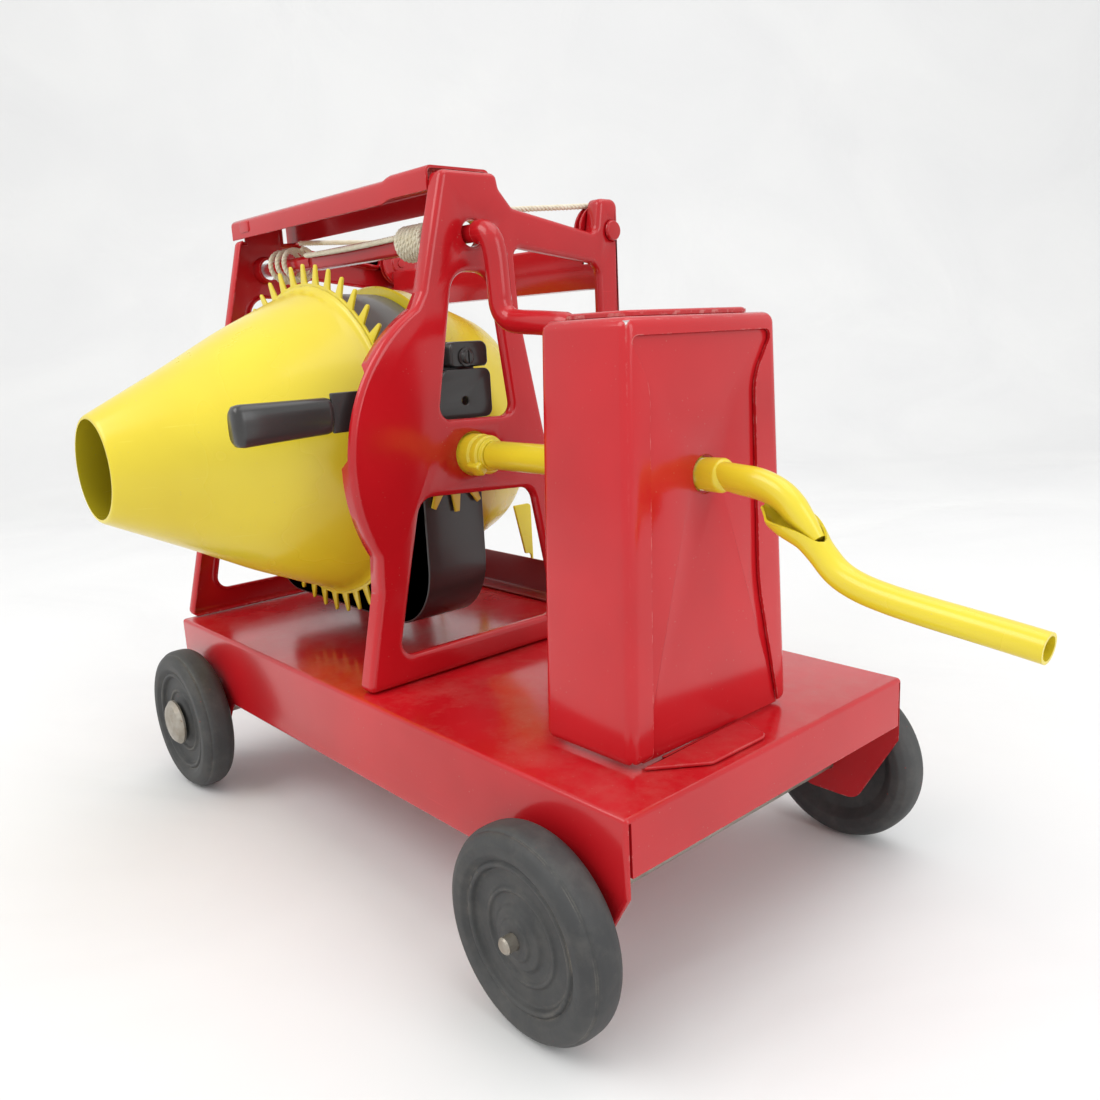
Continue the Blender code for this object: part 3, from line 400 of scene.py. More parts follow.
def plate(loops, place, low, high, round_edge=0.3, steps=2):
    """Closed plate from an outline and its holes, with softened edges on both faces."""
    bm = bmesh.new()
    lows, highs = [], []
    for index, loop in enumerate(loops):
        sense = -1.0 if index == 0 else 1.0
        rings = []
        for face, direction in ((low, 1.0), (high, -1.0)):
            arc = []
            for step in range(steps + 1):
                turn = math.pi / 2.0 * step / steps
                inset = round_edge * (1.0 - math.sin(turn))
                depth = face + direction * round_edge * (1.0 - math.cos(turn))
                arc.append([bm.verts.new(place(u, v, depth)) for u, v in offset(loop, sense * inset)])
            rings.append(arc)
        chain = rings[0] + rings[1][::-1]
        for one, two in zip(chain, chain[1:]):
            bridge(bm, one, two)
        lows.append(chain[0])
        highs.append(chain[-1])
    fill(bm, lows)
    fill(bm, highs)
    return bm


def along_x(u, v, depth):
    return Vector((depth, u, v))


def along_y(u, v, depth):
    return Vector((u, depth, v))


def along_z(u, v, depth):
    return Vector((u, v, depth))


def circle(y, z, radius, segments=32):
    return [(y + radius * math.cos(math.tau * i / segments),
        z + radius * math.sin(math.tau * i / segments)) for i in range(segments)]


def lathe(profile, centre, axis, segments=96, closed_ring=False):
    """Solid of revolution from (distance along axis, radius) points."""
    bm = bmesh.new()
    axis = Vector(axis).normalized()
    side = axis.orthogonal().normalized()
    other = axis.cross(side)
    centre = Vector(centre)
    rings = []
    for along, radius in profile:
        base = centre + axis * along
        if radius < 1e-6:
            rings.append([bm.verts.new(base)])
            continue
        ring = []
        for step in range(segments):
            turn = math.tau * step / segments
            ring.append(bm.verts.new(base + (side * math.cos(turn) + other * math.sin(turn)) * radius))
        rings.append(ring)
    pairs = list(zip(rings, rings[1:]))
    if closed_ring:
        pairs.append((rings[-1], rings[0]))
    for one, two in pairs:
        if len(one) == 1:
            for step in range(segments):
                bm.faces.new((one[0], two[step - 1], two[step]))
        elif len(two) == 1:
            for step in range(segments):
                bm.faces.new((one[step - 1], one[step], two[0]))
        else:
            bridge(bm, one, two)
    return bm


def soft(points, radius=0.6, steps=3):
    """Open profile with its inner corners rounded."""
    smooth = [points[0]]
    for index in range(1, len(points) - 1):
        here = Vector(points[index])
        back = Vector(points[index - 1]) - here
        ahead = Vector(points[index + 1]) - here
        reach = min(radius, back.length * 0.45, ahead.length * 0.45)
        start = here + back.normalized() * reach
        end = here + ahead.normalized() * reach
        for step in range(steps + 1):
            t = step / steps
            smooth.append(tuple(start * (1 - t) ** 2 + here * 2 * t * (1 - t) + end * t * t))
    smooth.append(points[-1])
    return smooth


def curve_through(points, steps=6):
    """Catmull-Rom curve through the points."""
    line = [Vector(point) for point in points]
    line = [line[0] * 2.0 - line[1]] + line + [line[-1] * 2.0 - line[-2]]
    curve = []
    for index in range(1, len(line) - 2):
        a, b, c, d = line[index - 1 : index + 3]
        for step in range(steps):
            t = step / steps
            bend = 2.0 * b + (c - a) * t
            bend += (2.0 * a - 5.0 * b + 4.0 * c - d) * t**2
            bend += (3.0 * b - a - 3.0 * c + d) * t**3
            curve.append(bend * 0.5)
    curve.append(line[-2])
    return curve


def frames_along(points):
    """(point, side, other) for each point, turning as little as possible."""
    tangent = (points[1] - points[0]).normalized()
    side = tangent.orthogonal().normalized()
    result = []
    for index, point in enumerate(points):
        before = points[max(index - 1, 0)]
        after = points[min(index + 1, len(points) - 1)]
        tangent = (after - before).normalized()
        side = (side - tangent * side.dot(tangent)).normalized()
        result.append((point, side.copy(), tangent.cross(side)))
    return result


def sweep(bm, points, sides, reach):
    """Closed bar along the points. reach(index, turn) is the section's radius."""
    rings = []
    for index, (point, side, other) in enumerate(frames_along(points)):
        ring = []
        for step in range(sides):
            turn = math.tau * step / sides
            size = reach(index, turn)
            ring.append(bm.verts.new(point + (side * math.cos(turn) + other * math.sin(turn)) * size))
        rings.append(ring)
    for one, two in zip(rings, rings[1:]):
        bridge(bm, one, two)
    bm.faces.new(rings[0])
    bm.faces.new(rings[-1])


def twisted(points, radius, pitch=5.0, strands=3, sides=8):
    """Twisted cord: strands wound round the route."""
    bm = bmesh.new()
    lengths = [0.0]
    for one, two in zip(points, points[1:]):
        lengths.append(lengths[-1] + (two - one).length)
    count = max(2, int(lengths[-1] / 0.7))
    even = []
    index = 0
    for step in range(count + 1):
        goal = lengths[-1] * step / count
        while index < len(points) - 2 and lengths[index + 1] < goal:
            index += 1
        span = lengths[index + 1] - lengths[index]
        even.append(points[index].lerp(points[index + 1], (goal - lengths[index]) / span))
    base = frames_along(even)
    gap = lengths[-1] / count
    for strand in range(strands):
        route = []
        for step, (point, side, other) in enumerate(base):
            turn = math.tau * (strand / strands + step * gap / pitch)
            route.append(point + (side * math.cos(turn) + other * math.sin(turn)) * radius * 0.52)
        sweep(bm, route, sides, lambda index, turn: radius * 0.54)
    return bm


def to_object(name, bm, material, angle=40.0):
    """Object in the row frame from a mesh in this script's millimetres."""
    for vert in bm.verts:
        vert.co = vert.co * MM + SHIFT
    bmesh.ops.recalc_face_normals(bm, faces=bm.faces[:])
    mesh = bpy.data.meshes.new(name)
    bm.to_mesh(mesh)
    bm.free()
    mesh.shade_smooth()
    mesh.set_sharp_from_angle(angle=math.radians(angle))
    mesh.materials.append(material)
    obj = bpy.data.objects.new(name, mesh)
    bpy.context.scene.collection.objects.link(obj)
    return obj


def piece(name, bm, look, body, replaces=(), angle=40.0):
    """A visible piece that moves with a body and stands for the CAD nodes named."""
    material, slot = look
    obj = to_object(name, bm, material, angle)
    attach(obj, body)
    if replaces:
        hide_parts(*replaces)
    return obj


def modify(obj, kind, **values):
    """Add a modifier and set its values, which bake() then applies."""
    step = obj.modifiers.new(kind.lower(), kind)
    for key, value in values.items():
        setattr(step, key, value)


def carve(obj, bm):
    """Cut a closed mesh out of obj now, and leave no modifier behind."""
    tool = to_object("carver", bm, obj.data.materials[0])
    modify(obj, "BOOLEAN", operation="DIFFERENCE", solver="EXACT", object=tool)
    bake(obj)
    bpy.data.objects.remove(tool, do_unlink=True)


def bake(obj):
    """Apply every modifier on obj."""
    graph = bpy.context.evaluated_depsgraph_get()
    mesh = bpy.data.meshes.new_from_object(obj.evaluated_get(graph))
    obj.modifiers.clear()
    obj.data = mesh


RED_TONES = ((0.53, 0.009, 0.015), (0.42, 0.006, 0.010), (0.60, 0.020, 0.026), (0.40, 0.20, 0.16),
    (0.60, 0.24, 0.22))
RED = (enamel("red_enamel", *RED_TONES, 0.16, 0.20, 0.8, 0.42, 0.18), "red_enamel")
# Painted shade: a darkened copy of the red enamel, about half as bright, for the rear deck rail and any CAD
# node in this slot, which sit in shade between the frames.
RED_PAINTED_SHADE_TONES = ((0.27, 0.007, 0.011), (0.20, 0.005, 0.009), (0.34, 0.03, 0.035), (0.28, 0.16, 0.13),
    (0.38, 0.12, 0.10))
RED_PAINTED_SHADE = (enamel("dark_red_enamel", *RED_PAINTED_SHADE_TONES, 0.26, 0.4), "dark_red_enamel")
YELLOW_TONES = ((0.80, 0.66, 0.030), (0.72, 0.57, 0.022), (0.86, 0.76, 0.12), (0.55, 0.46, 0.18),
    (0.42, 0.34, 0.06))
YELLOW = (enamel("yellow_enamel", *YELLOW_TONES, 0.24, 0.2), "yellow_enamel")
BLACK_TONES = ((0.026, 0.025, 0.025), (0.034, 0.033, 0.032), (0.055, 0.054, 0.052), (0.10, 0.09, 0.08),
    (0.09, 0.085, 0.08))
BLACK = (enamel("black_enamel", *BLACK_TONES, 0.28, 0.3), "black_enamel")
GREY_TONES = ((0.155, 0.152, 0.145), (0.12, 0.118, 0.113), (0.16, 0.158, 0.15), (0.20, 0.18, 0.15),
    (0.20, 0.19, 0.16))
GREY = (enamel("grey_band", *GREY_TONES, 0.42, 0.3), "grey_band")
RUBBER = (rubber(), "rubber")
STEEL = (bare_steel(), "bare_steel")
CORD = (cord(), "cord")

LOOKS = {look[1]: look for look in (RED, RED_PAINTED_SHADE, YELLOW, BLACK, GREY, RUBBER, STEEL, CORD)}


def dress_nodes():
    """Give every CAD node that stays the full material of its slot."""
    slots = {entry["node"]: entry["material_slot"] for entry in frame["record"]["subparts"]}
    for name, node in frame["nodes"].items():
        node.data.materials.clear()
        node.data.materials.append(LOOKS[slots[name]][0])


# ---------------------------------------------------------------- wheels

AXLE_R = 2.4


def wheel_profile(radius, width):
    """Half profile of the moulded wheel, (height over the inner face, radius), outside first."""
    outer = [(width - 1.0, AXLE_R + 0.1), (width - 1.0, 5.6), (width - 2.0, 6.2), (width - 2.2, 8.6)]
    outer += [(width - 3.4, 9.6), (width - 3.9, 12.2), (width - 3.0, 12.9), (width - 3.0, 13.7),
        (width - 3.8, 14.4)]
    outer += [(width - 3.6, 19.2), (width - 1.9, 19.8), (width - 1.7, 20.9), (width - 2.6, 21.6)]
    outer += [(width - 0.9, 23.4), (width - 0.7, 26.2), (width - 1.7, 28.2), (width - 2.9, 29.2),
        (width - 3.5, 29.2)]
    outer += [(width - 3.9, 29.9), (width - 5.4, radius - 0.1), (width / 2.0, radius)]
    inner = [(5.4, radius - 0.1), (3.9, 29.9), (2.2, 28.6), (1.0, 26.2), (1.2, 23.0), (4.0, 19.6),
        (4.0, 12.0), (1.0, 8.0)]
    return outer + inner + [(1.0, AXLE_R + 0.1)]


def build_wheels():
    for end in ("front", "rear"):
        for side in ("near", "far"):
            node = "wheel_%s_%s" % (end, side)
            low, high = mm_box(node)
            sign = -1.0 if side == "near" else 1.0
            radius = (high.z - low.z) / 2.0
            width = high.y - low.y + 2.0
            face = (high.y + 1.2) if sign < 0 else (low.y - 1.2)
            centre = ((low.x + high.x) / 2.0, face, radius)
            profile = soft(wheel_profile(radius, width), 0.5, 2)
            solid = lathe(profile, centre, (0.0, sign, 0.0), 96, True)
            piece("tyre_%s_%s" % (end, side), solid, RUBBER, node, (node,))


# ---------------------------------------------------------------- drum

MOUTH_R = 18.6
RIM_R = 61.4


def build_drum():
    low, high = mm_box("ring_gear")
    axis_x, axis_z = (low.x + high.x) / 2.0, (low.z + high.z) / 2.0
    ring_y = (low.y + high.y) / 2.0
    centre = (axis_x, ring_y, axis_z)
    mouth = ring_y - mm_box("drum_front_shell")[0].y
    outer = [(mouth, MOUTH_R - 0.9), (mouth, MOUTH_R), (mouth - 0.8, MOUTH_R + 0.7),
        (mouth - 30.0, 33.8)]
    outer += [(34.0, 46.2), (14.0, 55.2), (6.0, 58.6), (3.0, 59.4), (1.4, 60.4), (0.8, 61.6)]
    inner = [(0.8, 57.4), (3.6, 58.2), (13.6, 54.2), (33.4, 45.2), (mouth - 30.4, 32.8),
        (mouth - 0.8, MOUTH_R - 0.5)]
    shell = lathe(soft(outer, 5.0, 5) + soft(inner, 4.0, 4), centre, (0, -1, 0), 144, True)
    piece("front_cone", shell, YELLOW, "drum", ("drum_front_shell",))
    rear = mm_box("drum_rear_shell")
    rim = rear[1].y - ring_y - 46.6
    end = rear[1].y - ring_y
    outer = [(0.8, 56.0), (rim - 1.4, 56.0), (rim - 1.2, 60.8), (rim - 0.4, RIM_R),
        (rim + 0.8, RIM_R - 0.8)]
    outer += [(rim + 2.0, 60.2), (rim + 8.0, 59.9)]
    crown = soft([(rim + 8.0, 59.9), (end - 6.6, 48.0), (end - 2.0, 44.0), (end, 36.0), (end - 0.6, 30.0),
        (end, 0.0)], 3.0, 5)
    inner = [(end - 1.6, 0.0), (end - 1.6, 35.4), (end - 3.6, 43.0), (end - 7.4, 46.8), (rim + 7.8, 58.7),
        (rim + 1.0, 59.2)]
    inner += [(rim - 0.2, 55.0), (0.8, 55.0)]
    outer += crown[1:]
    shell = lathe(inner + outer, centre, (0, 1, 0), 144)
    piece("rear_cone", shell, YELLOW, "drum", ("drum_rear_shell",))
    build_ring(centre)


def finger_outline(teeth, root, tip, root_half, tip_half, phase):
    """Stamped disc edge: rounded webs between tapering fingers with rounded tips."""
    outline = []
    for tooth in range(teeth):
        middle_angle = phase + math.tau * tooth / teeth
        steps = [(root, -root_half), (root + 1.0, -root_half + 0.25), (tip - 1.2, -tip_half),
            (tip - 0.3, -tip_half * 0.7), (tip, -tip_half * 0.2)]
        steps += [(radius, -half) for radius, half in reversed(steps)]
        for radius, half in steps:
            turn = middle_angle + half / radius
            outline.append((radius * math.cos(turn), radius * math.sin(turn)))
    return outline


def build_ring(centre):
    teeth = 45
    fingers = finger_outline(teeth, 62.6, 69.9, 2.1, 1.0, 0.0)

    def on_ring(u, v, depth):
        radius = math.hypot(u, v)
        finger = round(math.atan2(v, u) / (math.tau / teeth))
        lean = 0.45 * math.sin(finger * 12.9) * max(0.0, radius - 62.6) / 7.3
        return Vector((centre[0] + u, centre[1] + depth + lean, centre[2] + v))

    solid = plate([fingers, circle(0.0, 0.0, 56.6, 90)], on_ring, -0.55, 0.55, 0.25, 2)
    piece("finger_ring", solid, YELLOW, "drum", ("ring_gear",), 50.0)


# ---------------------------------------------------------------- cords

CORD_R = 1.1
WINCH = middle("winch_bar")


def build_cords():
    y, z = (WINCH.y - SHIFT.y) / MM, WINCH.z / MM

    def coil(x0, x1, radius, turns):
        count = int(turns * 28)
        points = []
        for step in range(count + 1):
            turn = math.tau * step / 28
            points.append(Vector((x0 + (x1 - x0) * step / count, y - radius * math.sin(turn),
                z + radius * math.cos(turn))))
        return points

    piece("cord_far_turns", twisted(coil(-125.0, -106.0, 6.6, 3.0), CORD_R), CORD, "winch",
        ("rope_far_turns",))
    run = [Vector((-95.0 + 5.0 * i, y - 4.4,
        z + 2.5 - 0.5 * math.sin(math.pi * i / 14))) for i in range(15)]
    piece("cord_bar_run", twisted(run, CORD_R), CORD, "winch", ("rope_bar_run",))
    piece("cord_near_coil", twisted(coil(-23.6, -8.0, 5.7, 6.5), CORD_R), CORD, "winch",
        ("rope_near_coil",))
    for side, start_x in (("near", -9.5), ("far", -109.0)):
        low, high = mm_box("pulley_%s" % side)
        groove = (low.x + high.x) / 2.0
        wheel_y, wheel_z = (low.y + high.y) / 2.0, (low.z + high.z) / 2.0
        lift = 9.6
        lead = [Vector((start_x, y + 1.0, z + 9.0)), Vector(((groove + start_x) / 2.0, 27.0, z + 11.4))]
        lead.append(Vector((groove, wheel_y - 3.0, wheel_z + lift + 0.5)))
        arc = []
        for step in range(9):
            turn = math.pi / 2.0 * (1.0 - step / 8)
            arc.append(Vector((groove, wheel_y + lift * math.cos(turn), wheel_z + lift * math.sin(turn))))
        piece("cord_lead_%s" % side, twisted(curve_through(lead, 8) + arc, CORD_R), CORD, "chassis",
            ("rope_lead_%s" % side,))


# ---------------------------------------------------------------- small carried-over pieces


def soften(name, look, body, width, angle=35.0):
    """Copy of a node with every hard edge rounded, which takes the node's place."""
    node = frame["nodes"][name]
    bm = bmesh.new()
    bm.from_mesh(node.data)
    bm.transform(node.matrix_world)
    bmesh.ops.remove_doubles(bm, verts=bm.verts, dist=1e-6)
    bmesh.ops.dissolve_limit(bm, angle_limit=math.radians(0.5), verts=bm.verts, edges=bm.edges)
    mesh = bpy.data.meshes.new("soft_" + name)
    bm.to_mesh(mesh)
    bm.free()
    mesh.materials.append(look[0])
    obj = bpy.data.objects.new("soft_" + name, mesh)
    bpy.context.scene.collection.objects.link(obj)
    modify(obj, "BEVEL", width=width * MM, segments=3, limit_method="ANGLE",
        angle_limit=math.radians(angle),
        use_clamp_overlap=True)
    bake(obj)
    return finish_piece(obj, body, (name,), angle)


def soften_all():
    for name in ("rear_cross_channel", "far_pivot_pin", "pulley_pin_near", "pulley_pin_far"):
        soften(name, RED, "chassis", 0.25)
    # The rear deck rail wears the darkened copy of the red enamel: painted shade, not a paint of its own.
    soften("rear_deck_rail", RED_PAINTED_SHADE, "chassis", 0.25)
    for name in ("hoop_spacer_near", "hoop_spacer_far", "lever_foot"):
        soften(name, BLACK, "yoke", 0.35)
    soften("pinion_gear", YELLOW, "crank", 0.22)
    soften("skip_crossbar", YELLOW, "skip", 0.35)
    soften("skip_bucket", YELLOW, "skip", 0.35)
    for side in ("near", "far"):
        soften("skip_guide_" + side, YELLOW, "skip", 0.3)
        soften("skip_lug_" + side, YELLOW, "skip", 0.2)


def build_screw():
    """Slotted cheese-head screw with a washer on the lever's block."""
    low, high = mm_box("lever_screw")
    y, z = (low.y + high.y) / 2.0, (low.z + high.z) / 2.0
    radius = (high.z - low.z) / 2.0
    profile = [(low.x, 0.0), (low.x, 1.3), (high.x - 1.9, 1.3), (high.x - 1.9, radius),
        (high.x - 1.3, radius)]
    profile += [(high.x - 1.2, 2.5), (high.x - 0.3, 2.3), (high.x, 1.7), (high.x, 0.0)]
    screw = to_object("slotted_screw", lathe(soft(profile, 0.15, 2), (0.0, y, z), (1, 0, 0), 40), BLACK[0])
    carve(screw, block((high.x - 0.7, y - 0.35, z - 4.0), (high.x + 1.0, y + 0.35, z + 4.0)))
    finish_piece(screw, "yoke", ("lever_screw",))


def build_strands():
    """Straight cords from the pulleys down to the skip, each on a mesh of its own; the real cords shorten
    as the skip is hoisted.
    """
    for side in ("near", "far"):
        low, high = mm_box("rope_strand_" + side)
        x, y, length = (low.x + high.x) / 2.0, (low.y + high.y) / 2.0, high.z - low.z
        points = [Vector((x, y, high.z - length * step / 40)) for step in range(41)]
        strand = piece("cord_strand_" + side, twisted(points, CORD_R), CORD, "chassis",
            ("rope_strand_" + side,))
        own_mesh(strand)


# ---------------------------------------------------------------- pressed side frames

SHEET = 1.0
BEND = 2.2
LIP = 3.4


def pressed(outer, holes, bores, place, face, sense, depth_at):
    """Pressed sheet: flat web, edges turned through a soft bend, and lips round the windows."""
    bm = bmesh.new()
    arc = [math.pi / 2.0 * step / 5 for step in range(6)]

    def ring(loop, inset, depths):
        moved = offset(loop, inset) if inset else loop
        return [bm.verts.new(place(u, v, face + sense * depth)) for (u, v), depth in zip(moved, depths)]

    def turned(loop, side, ends):
        """Rings from the web's front, round the bend, to the turned edge's end and back inside."""
        count = len(loop)
        rings = []
        for turn in arc:
            rings.append(ring(loop, -side * BEND * (1.0 - math.sin(turn)),
                [BEND * (1.0 - math.cos(turn))] * count))
        rings.append(ring(loop, 0.0, [end - 0.3 for end in ends]))
        rings.append(ring(loop, -side * 0.3, ends))
        rings.append(ring(loop, -side * (SHEET - 0.2), ends))
        rings.append(ring(loop, -side * SHEET, [end - 0.3 for end in ends]))
        inside = BEND - SHEET
        for turn in reversed(arc):
            inset = BEND - inside * math.sin(turn)
            rings.append(ring(loop, -side * inset, [BEND - inside * math.cos(turn)] * count))
        for one, two in zip(rings, rings[1:]):
            bridge(bm, one, two)
        return rings[0], rings[-1]

    front, back = [], []
    first, last = turned(outer, 1.0, [depth_at(point) for point in outer])
    front.append(first)
    back.append(last)
    for hole in holes:
        first, last = turned(hole, -1.0, [LIP] * len(hole))
        front.append(first)
        back.append(last)
    for bore in bores:
        count = len(bore)
        rings = [ring(bore, 0.5, [0.0] * count), ring(bore, 0.0, [0.4] * count),
            ring(bore, 0.0, [SHEET] * count)]
        for one, two in zip(rings, rings[1:]):
            bridge(bm, one, two)
        front.append(rings[0])
        back.append(rings[-1])
    fill(bm, front)
    fill(bm, back)
    return bm


def frame_outline(bulge, base):
    """Outer edge of a side frame in (Y, Z), and its three windows."""
    left = [(-63.8, base, 2.5)]
    if bulge:
        left += [(-56.0, 104.0, 5.0)]
        centre_y, centre_z, radius = -2.0, 146.0, 61.0
        start = math.atan2(115.5 - centre_z, -57.0 - centre_y) + math.tau
        end = math.atan2(198.0 - centre_z, -32.0 - centre_y)
        for step in range(33):
            turn = start + (end - start) * step / 32
            left.append((centre_y + radius * math.cos(turn), centre_z + radius * math.sin(turn), 0.0))
        left += [(-29.4, 204.0, 2.6), (-18.4, 244.0, 3.0)]
        top = [(5.6, 244.0, 2.6), (6.6, 239.0, 3.0)]
    else:
        left += [(-20.4, 236.0, 2.5), (-16.0, 236.0, 0.0)]
        top = [(-16.0, 244.0, 2.5), (3.0, 244.0, 2.5), (3.0, 235.6, 0.0), (9.4, 235.6, 1.5)]
    outer = left + top + [(12.4, 232.8, 3.0), (54.0, 225.2, 3.0), (56.0, 238.4, 3.0)]
    outer += [(66.2, 238.4, 3.4), (66.2, base, 2.5)]
    upper = [(-25.9, 160.4, 4.5), (-16.0, 210.8, 8.0), (0.8, 210.4, 8.0), (7.4, 159.4, 4.5)]
    lower = [(-49.8, 79.6, 5.0), (-36.4, 134.4, 7.0), (14.6, 131.6, 6.0), (24.5, 79.6, 5.0)]
    rear = [(12.0, 219.2, 3.0), (13.2, 196.0, 12.0), (37.5, 79.6, 5.0), (54.6, 79.6, 5.0),
        (54.6, 213.8, 5.0)]
    return rounded(outer), [rounded(hole, 8) for hole in (upper, lower, rear)]


def build_side_frames():
    _, winch_y, winch_z = mm_middle("winch_bar")
    _, shaft_y, shaft_z = mm_middle("crank_shaft")
    _, pin_y, pin_z = mm_middle("pulley_pin_near")
    for side in ("near", "far"):
        low, high = mm_box("side_frame_%s" % side)
        bulge = side == "near"
        face, sense = (high.x, -1.0) if bulge else (low.x, 1.0)
        flange = high.x - low.x
        outer, holes = frame_outline(bulge, low.z)
        bores = [circle(winch_y, winch_z, 5.0, 40), circle(pin_y, pin_z, 2.3, 24)]
        bores.append(circle(shaft_y, shaft_z, 8.0 if bulge else 3.3, 48))

        def depth_at(point):
            y, z = point
            notch = bulge and y < -50.0 and (150.0 < z < 180.0 or 104.5 < z < 111.0)
            tab = not bulge and -18.5 < y < 3.5 and z > 235.0
            return BEND + 0.4 if notch or tab else flange

        solid = pressed(outer, holes, bores, along_x, face, sense, depth_at)
        piece("pressed_frame_%s" % side, solid, RED, "chassis", ("side_frame_%s" % side,), 45.0)
        start, stop = sorted((face + sense * (SHEET - 0.2), face + sense * 5.6))
        collar = soft([(start, 4.9), (start, 6.4), (stop, 5.5), (stop, 4.5)], 0.3, 2)
        piece("winch_lip_%s" % side, lathe(collar, (0.0, winch_y, winch_z), (1, 0, 0), 40, True), RED,
            "chassis")


# ---------------------------------------------------------------- deck, channel and engine cover


def prism(outline, place, low, high):
    """Plain closed solid, used as a blank or a cutter."""
    bm = bmesh.new()
    one = [bm.verts.new(place(u, v, low)) for u, v in outline]
    two = [bm.verts.new(place(u, v, high)) for u, v in outline]
    bridge(bm, one, two)
    bm.faces.new(one)
    bm.faces.new(two)
    return bm


def block(low, high):
    corners = [(low[0], low[1]), (high[0], low[1]), (high[0], high[1]), (low[0], high[1])]
    return prism(corners, along_z, low[2], high[2])


def build_deck():
    low, high = mm_box("deck_tray")
    half_x, half_y, top = high.x, high.y, high.z
    near_x = (mm_box("axle_front")[0].x + mm_box("axle_front")[1].x) / 2.0
    far_x = (mm_box("axle_rear")[0].x + mm_box("axle_rear")[1].x) / 2.0
    axle_z = (mm_box("axle_front")[0].z + mm_box("axle_front")[1].z) / 2.0
    bottom = top - 30.3
    ears = [(-half_x, top, 0.0), (-half_x, 47.0, 1.5), (far_x - 12.0, low.z, 7.0),
        (far_x + 9.0, low.z, 7.0)]
    ears += [(far_x + 22.0, bottom, 6.0), (near_x - 22.0, bottom, 6.0), (near_x - 9.0, low.z, 7.0)]
    ears += [(near_x + 12.0, low.z, 7.0), (half_x, 47.0, 1.5), (half_x, top, 0.0)]
    deck = to_object("pressed_deck", prism(rounded(ears), along_y, -half_y, half_y), RED[0])
    modify(deck, "BEVEL", width=1.6 * MM, segments=5, limit_method="ANGLE", angle_limit=math.radians(60.0))
    bake(deck)
    carve(deck, block((-half_x + SHEET, -half_y + SHEET, -5.0),
        (half_x - SHEET, half_y - SHEET, top - SHEET)))
    for sign in (-1.0, 1.0):
        ends = sorted((sign * (half_x - SHEET - 0.6), sign * (half_x + 5.0)))
        carve(deck, block((ends[0], -half_y + SHEET + 0.1, -5.0),
            (ends[1], half_y - SHEET - 0.1, top - 16.8)))
        for side in (-1.0, 1.0):
            slit = sorted((side * (half_y - SHEET - 0.1), side * (half_y - SHEET - 1.0)))
            carve(deck, block((ends[0], slit[0], top - 17.5), (ends[1], slit[1], top - 1.4)))
    for x in (near_x, far_x):
        carve(deck, lathe([(-90.0, 0.0), (-90.0, 2.7), (90.0, 2.7), (90.0, 0.0)], (x, 0.0, axle_z),
            (0, 1, 0), 32))
    finish_piece(deck, "chassis", ("deck_tray",))


def finish_piece(obj, body, replaces=(), angle=35.0):
    """Shade and ride an object made with carve() or modifiers, and hide the nodes it replaces."""
    obj.data.shade_smooth()
    obj.data.set_sharp_from_angle(angle=math.radians(angle))
    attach(obj, body)
    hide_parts(*replaces)
    return obj


def loft(rings_points):
    """Closed solid through rings of points."""
    bm = bmesh.new()
    rings = [[bm.verts.new(point) for point in ring] for ring in rings_points]
    for one, two in zip(rings, rings[1:]):
        bridge(bm, one, two)
    bm.faces.new(rings[0])
    bm.faces.new(rings[-1])
    return bm


def build_channel():
    """Top channel: its near end is raised in a step, and a blank pad is pressed near the far end."""
    low, high = mm_box("top_channel")
    top, front, back = high.z, low.y, high.y
    corners = [(front, low.z + 1.2, 0.3), (front, top, 2.4), (back, top, 2.4), (back, low.z, 0.3)]
    corners += [(back - 0.9, low.z, 0.3), (back - 0.9, top - 0.9, 1.6), (front + 0.9, top - 0.9, 1.6),
        (front + 0.9, low.z + 1.2, 0.3)]
    profile = rounded(corners, 5)
    stations = [(low.x, 1.3), (low.x + 0.4, 1.2), (-20.0, 1.2), (-18.0, 0.9), (-16.0, 0.3), (-14.0, 0.0),
        (high.x - 0.4, 0.0), (high.x, 0.1)]
    rings = [[Vector((x, u, v - drop)) for u, v in profile] for x, drop in stations]
    piece("channel_top", loft(rings), RED, "chassis", ("top_channel",), 40.0)
    pad = rounded([(-135.0, top - 7.4, 1.0), (-126.5, top - 7.4, 1.0), (-126.5, top - 2.6, 1.0),
        (-135.0, top - 2.6, 1.0)], 4)
    piece("channel_pad", plate([pad], along_y, front - 0.5, front + 0.3, 0.4, 3), RED, "chassis")


def flared(x0, x1, y0, y1, z0, z1, spread_x, spread_y):
    """Box whose bottom is wider than its top by the spreads."""
    tops = [(x0, y0), (x1, y0), (x1, y1), (x0, y1)]
    lows = [(x0 - spread_x, y0 - spread_y), (x1 + spread_x, y0 - spread_y),
        (x1 + spread_x, y1 + spread_y), (x0 - spread_x, y1 + spread_y)]
    return loft([[Vector((x, y, z0)) for x, y in lows], [Vector((x, y, z1)) for x, y in tops]])


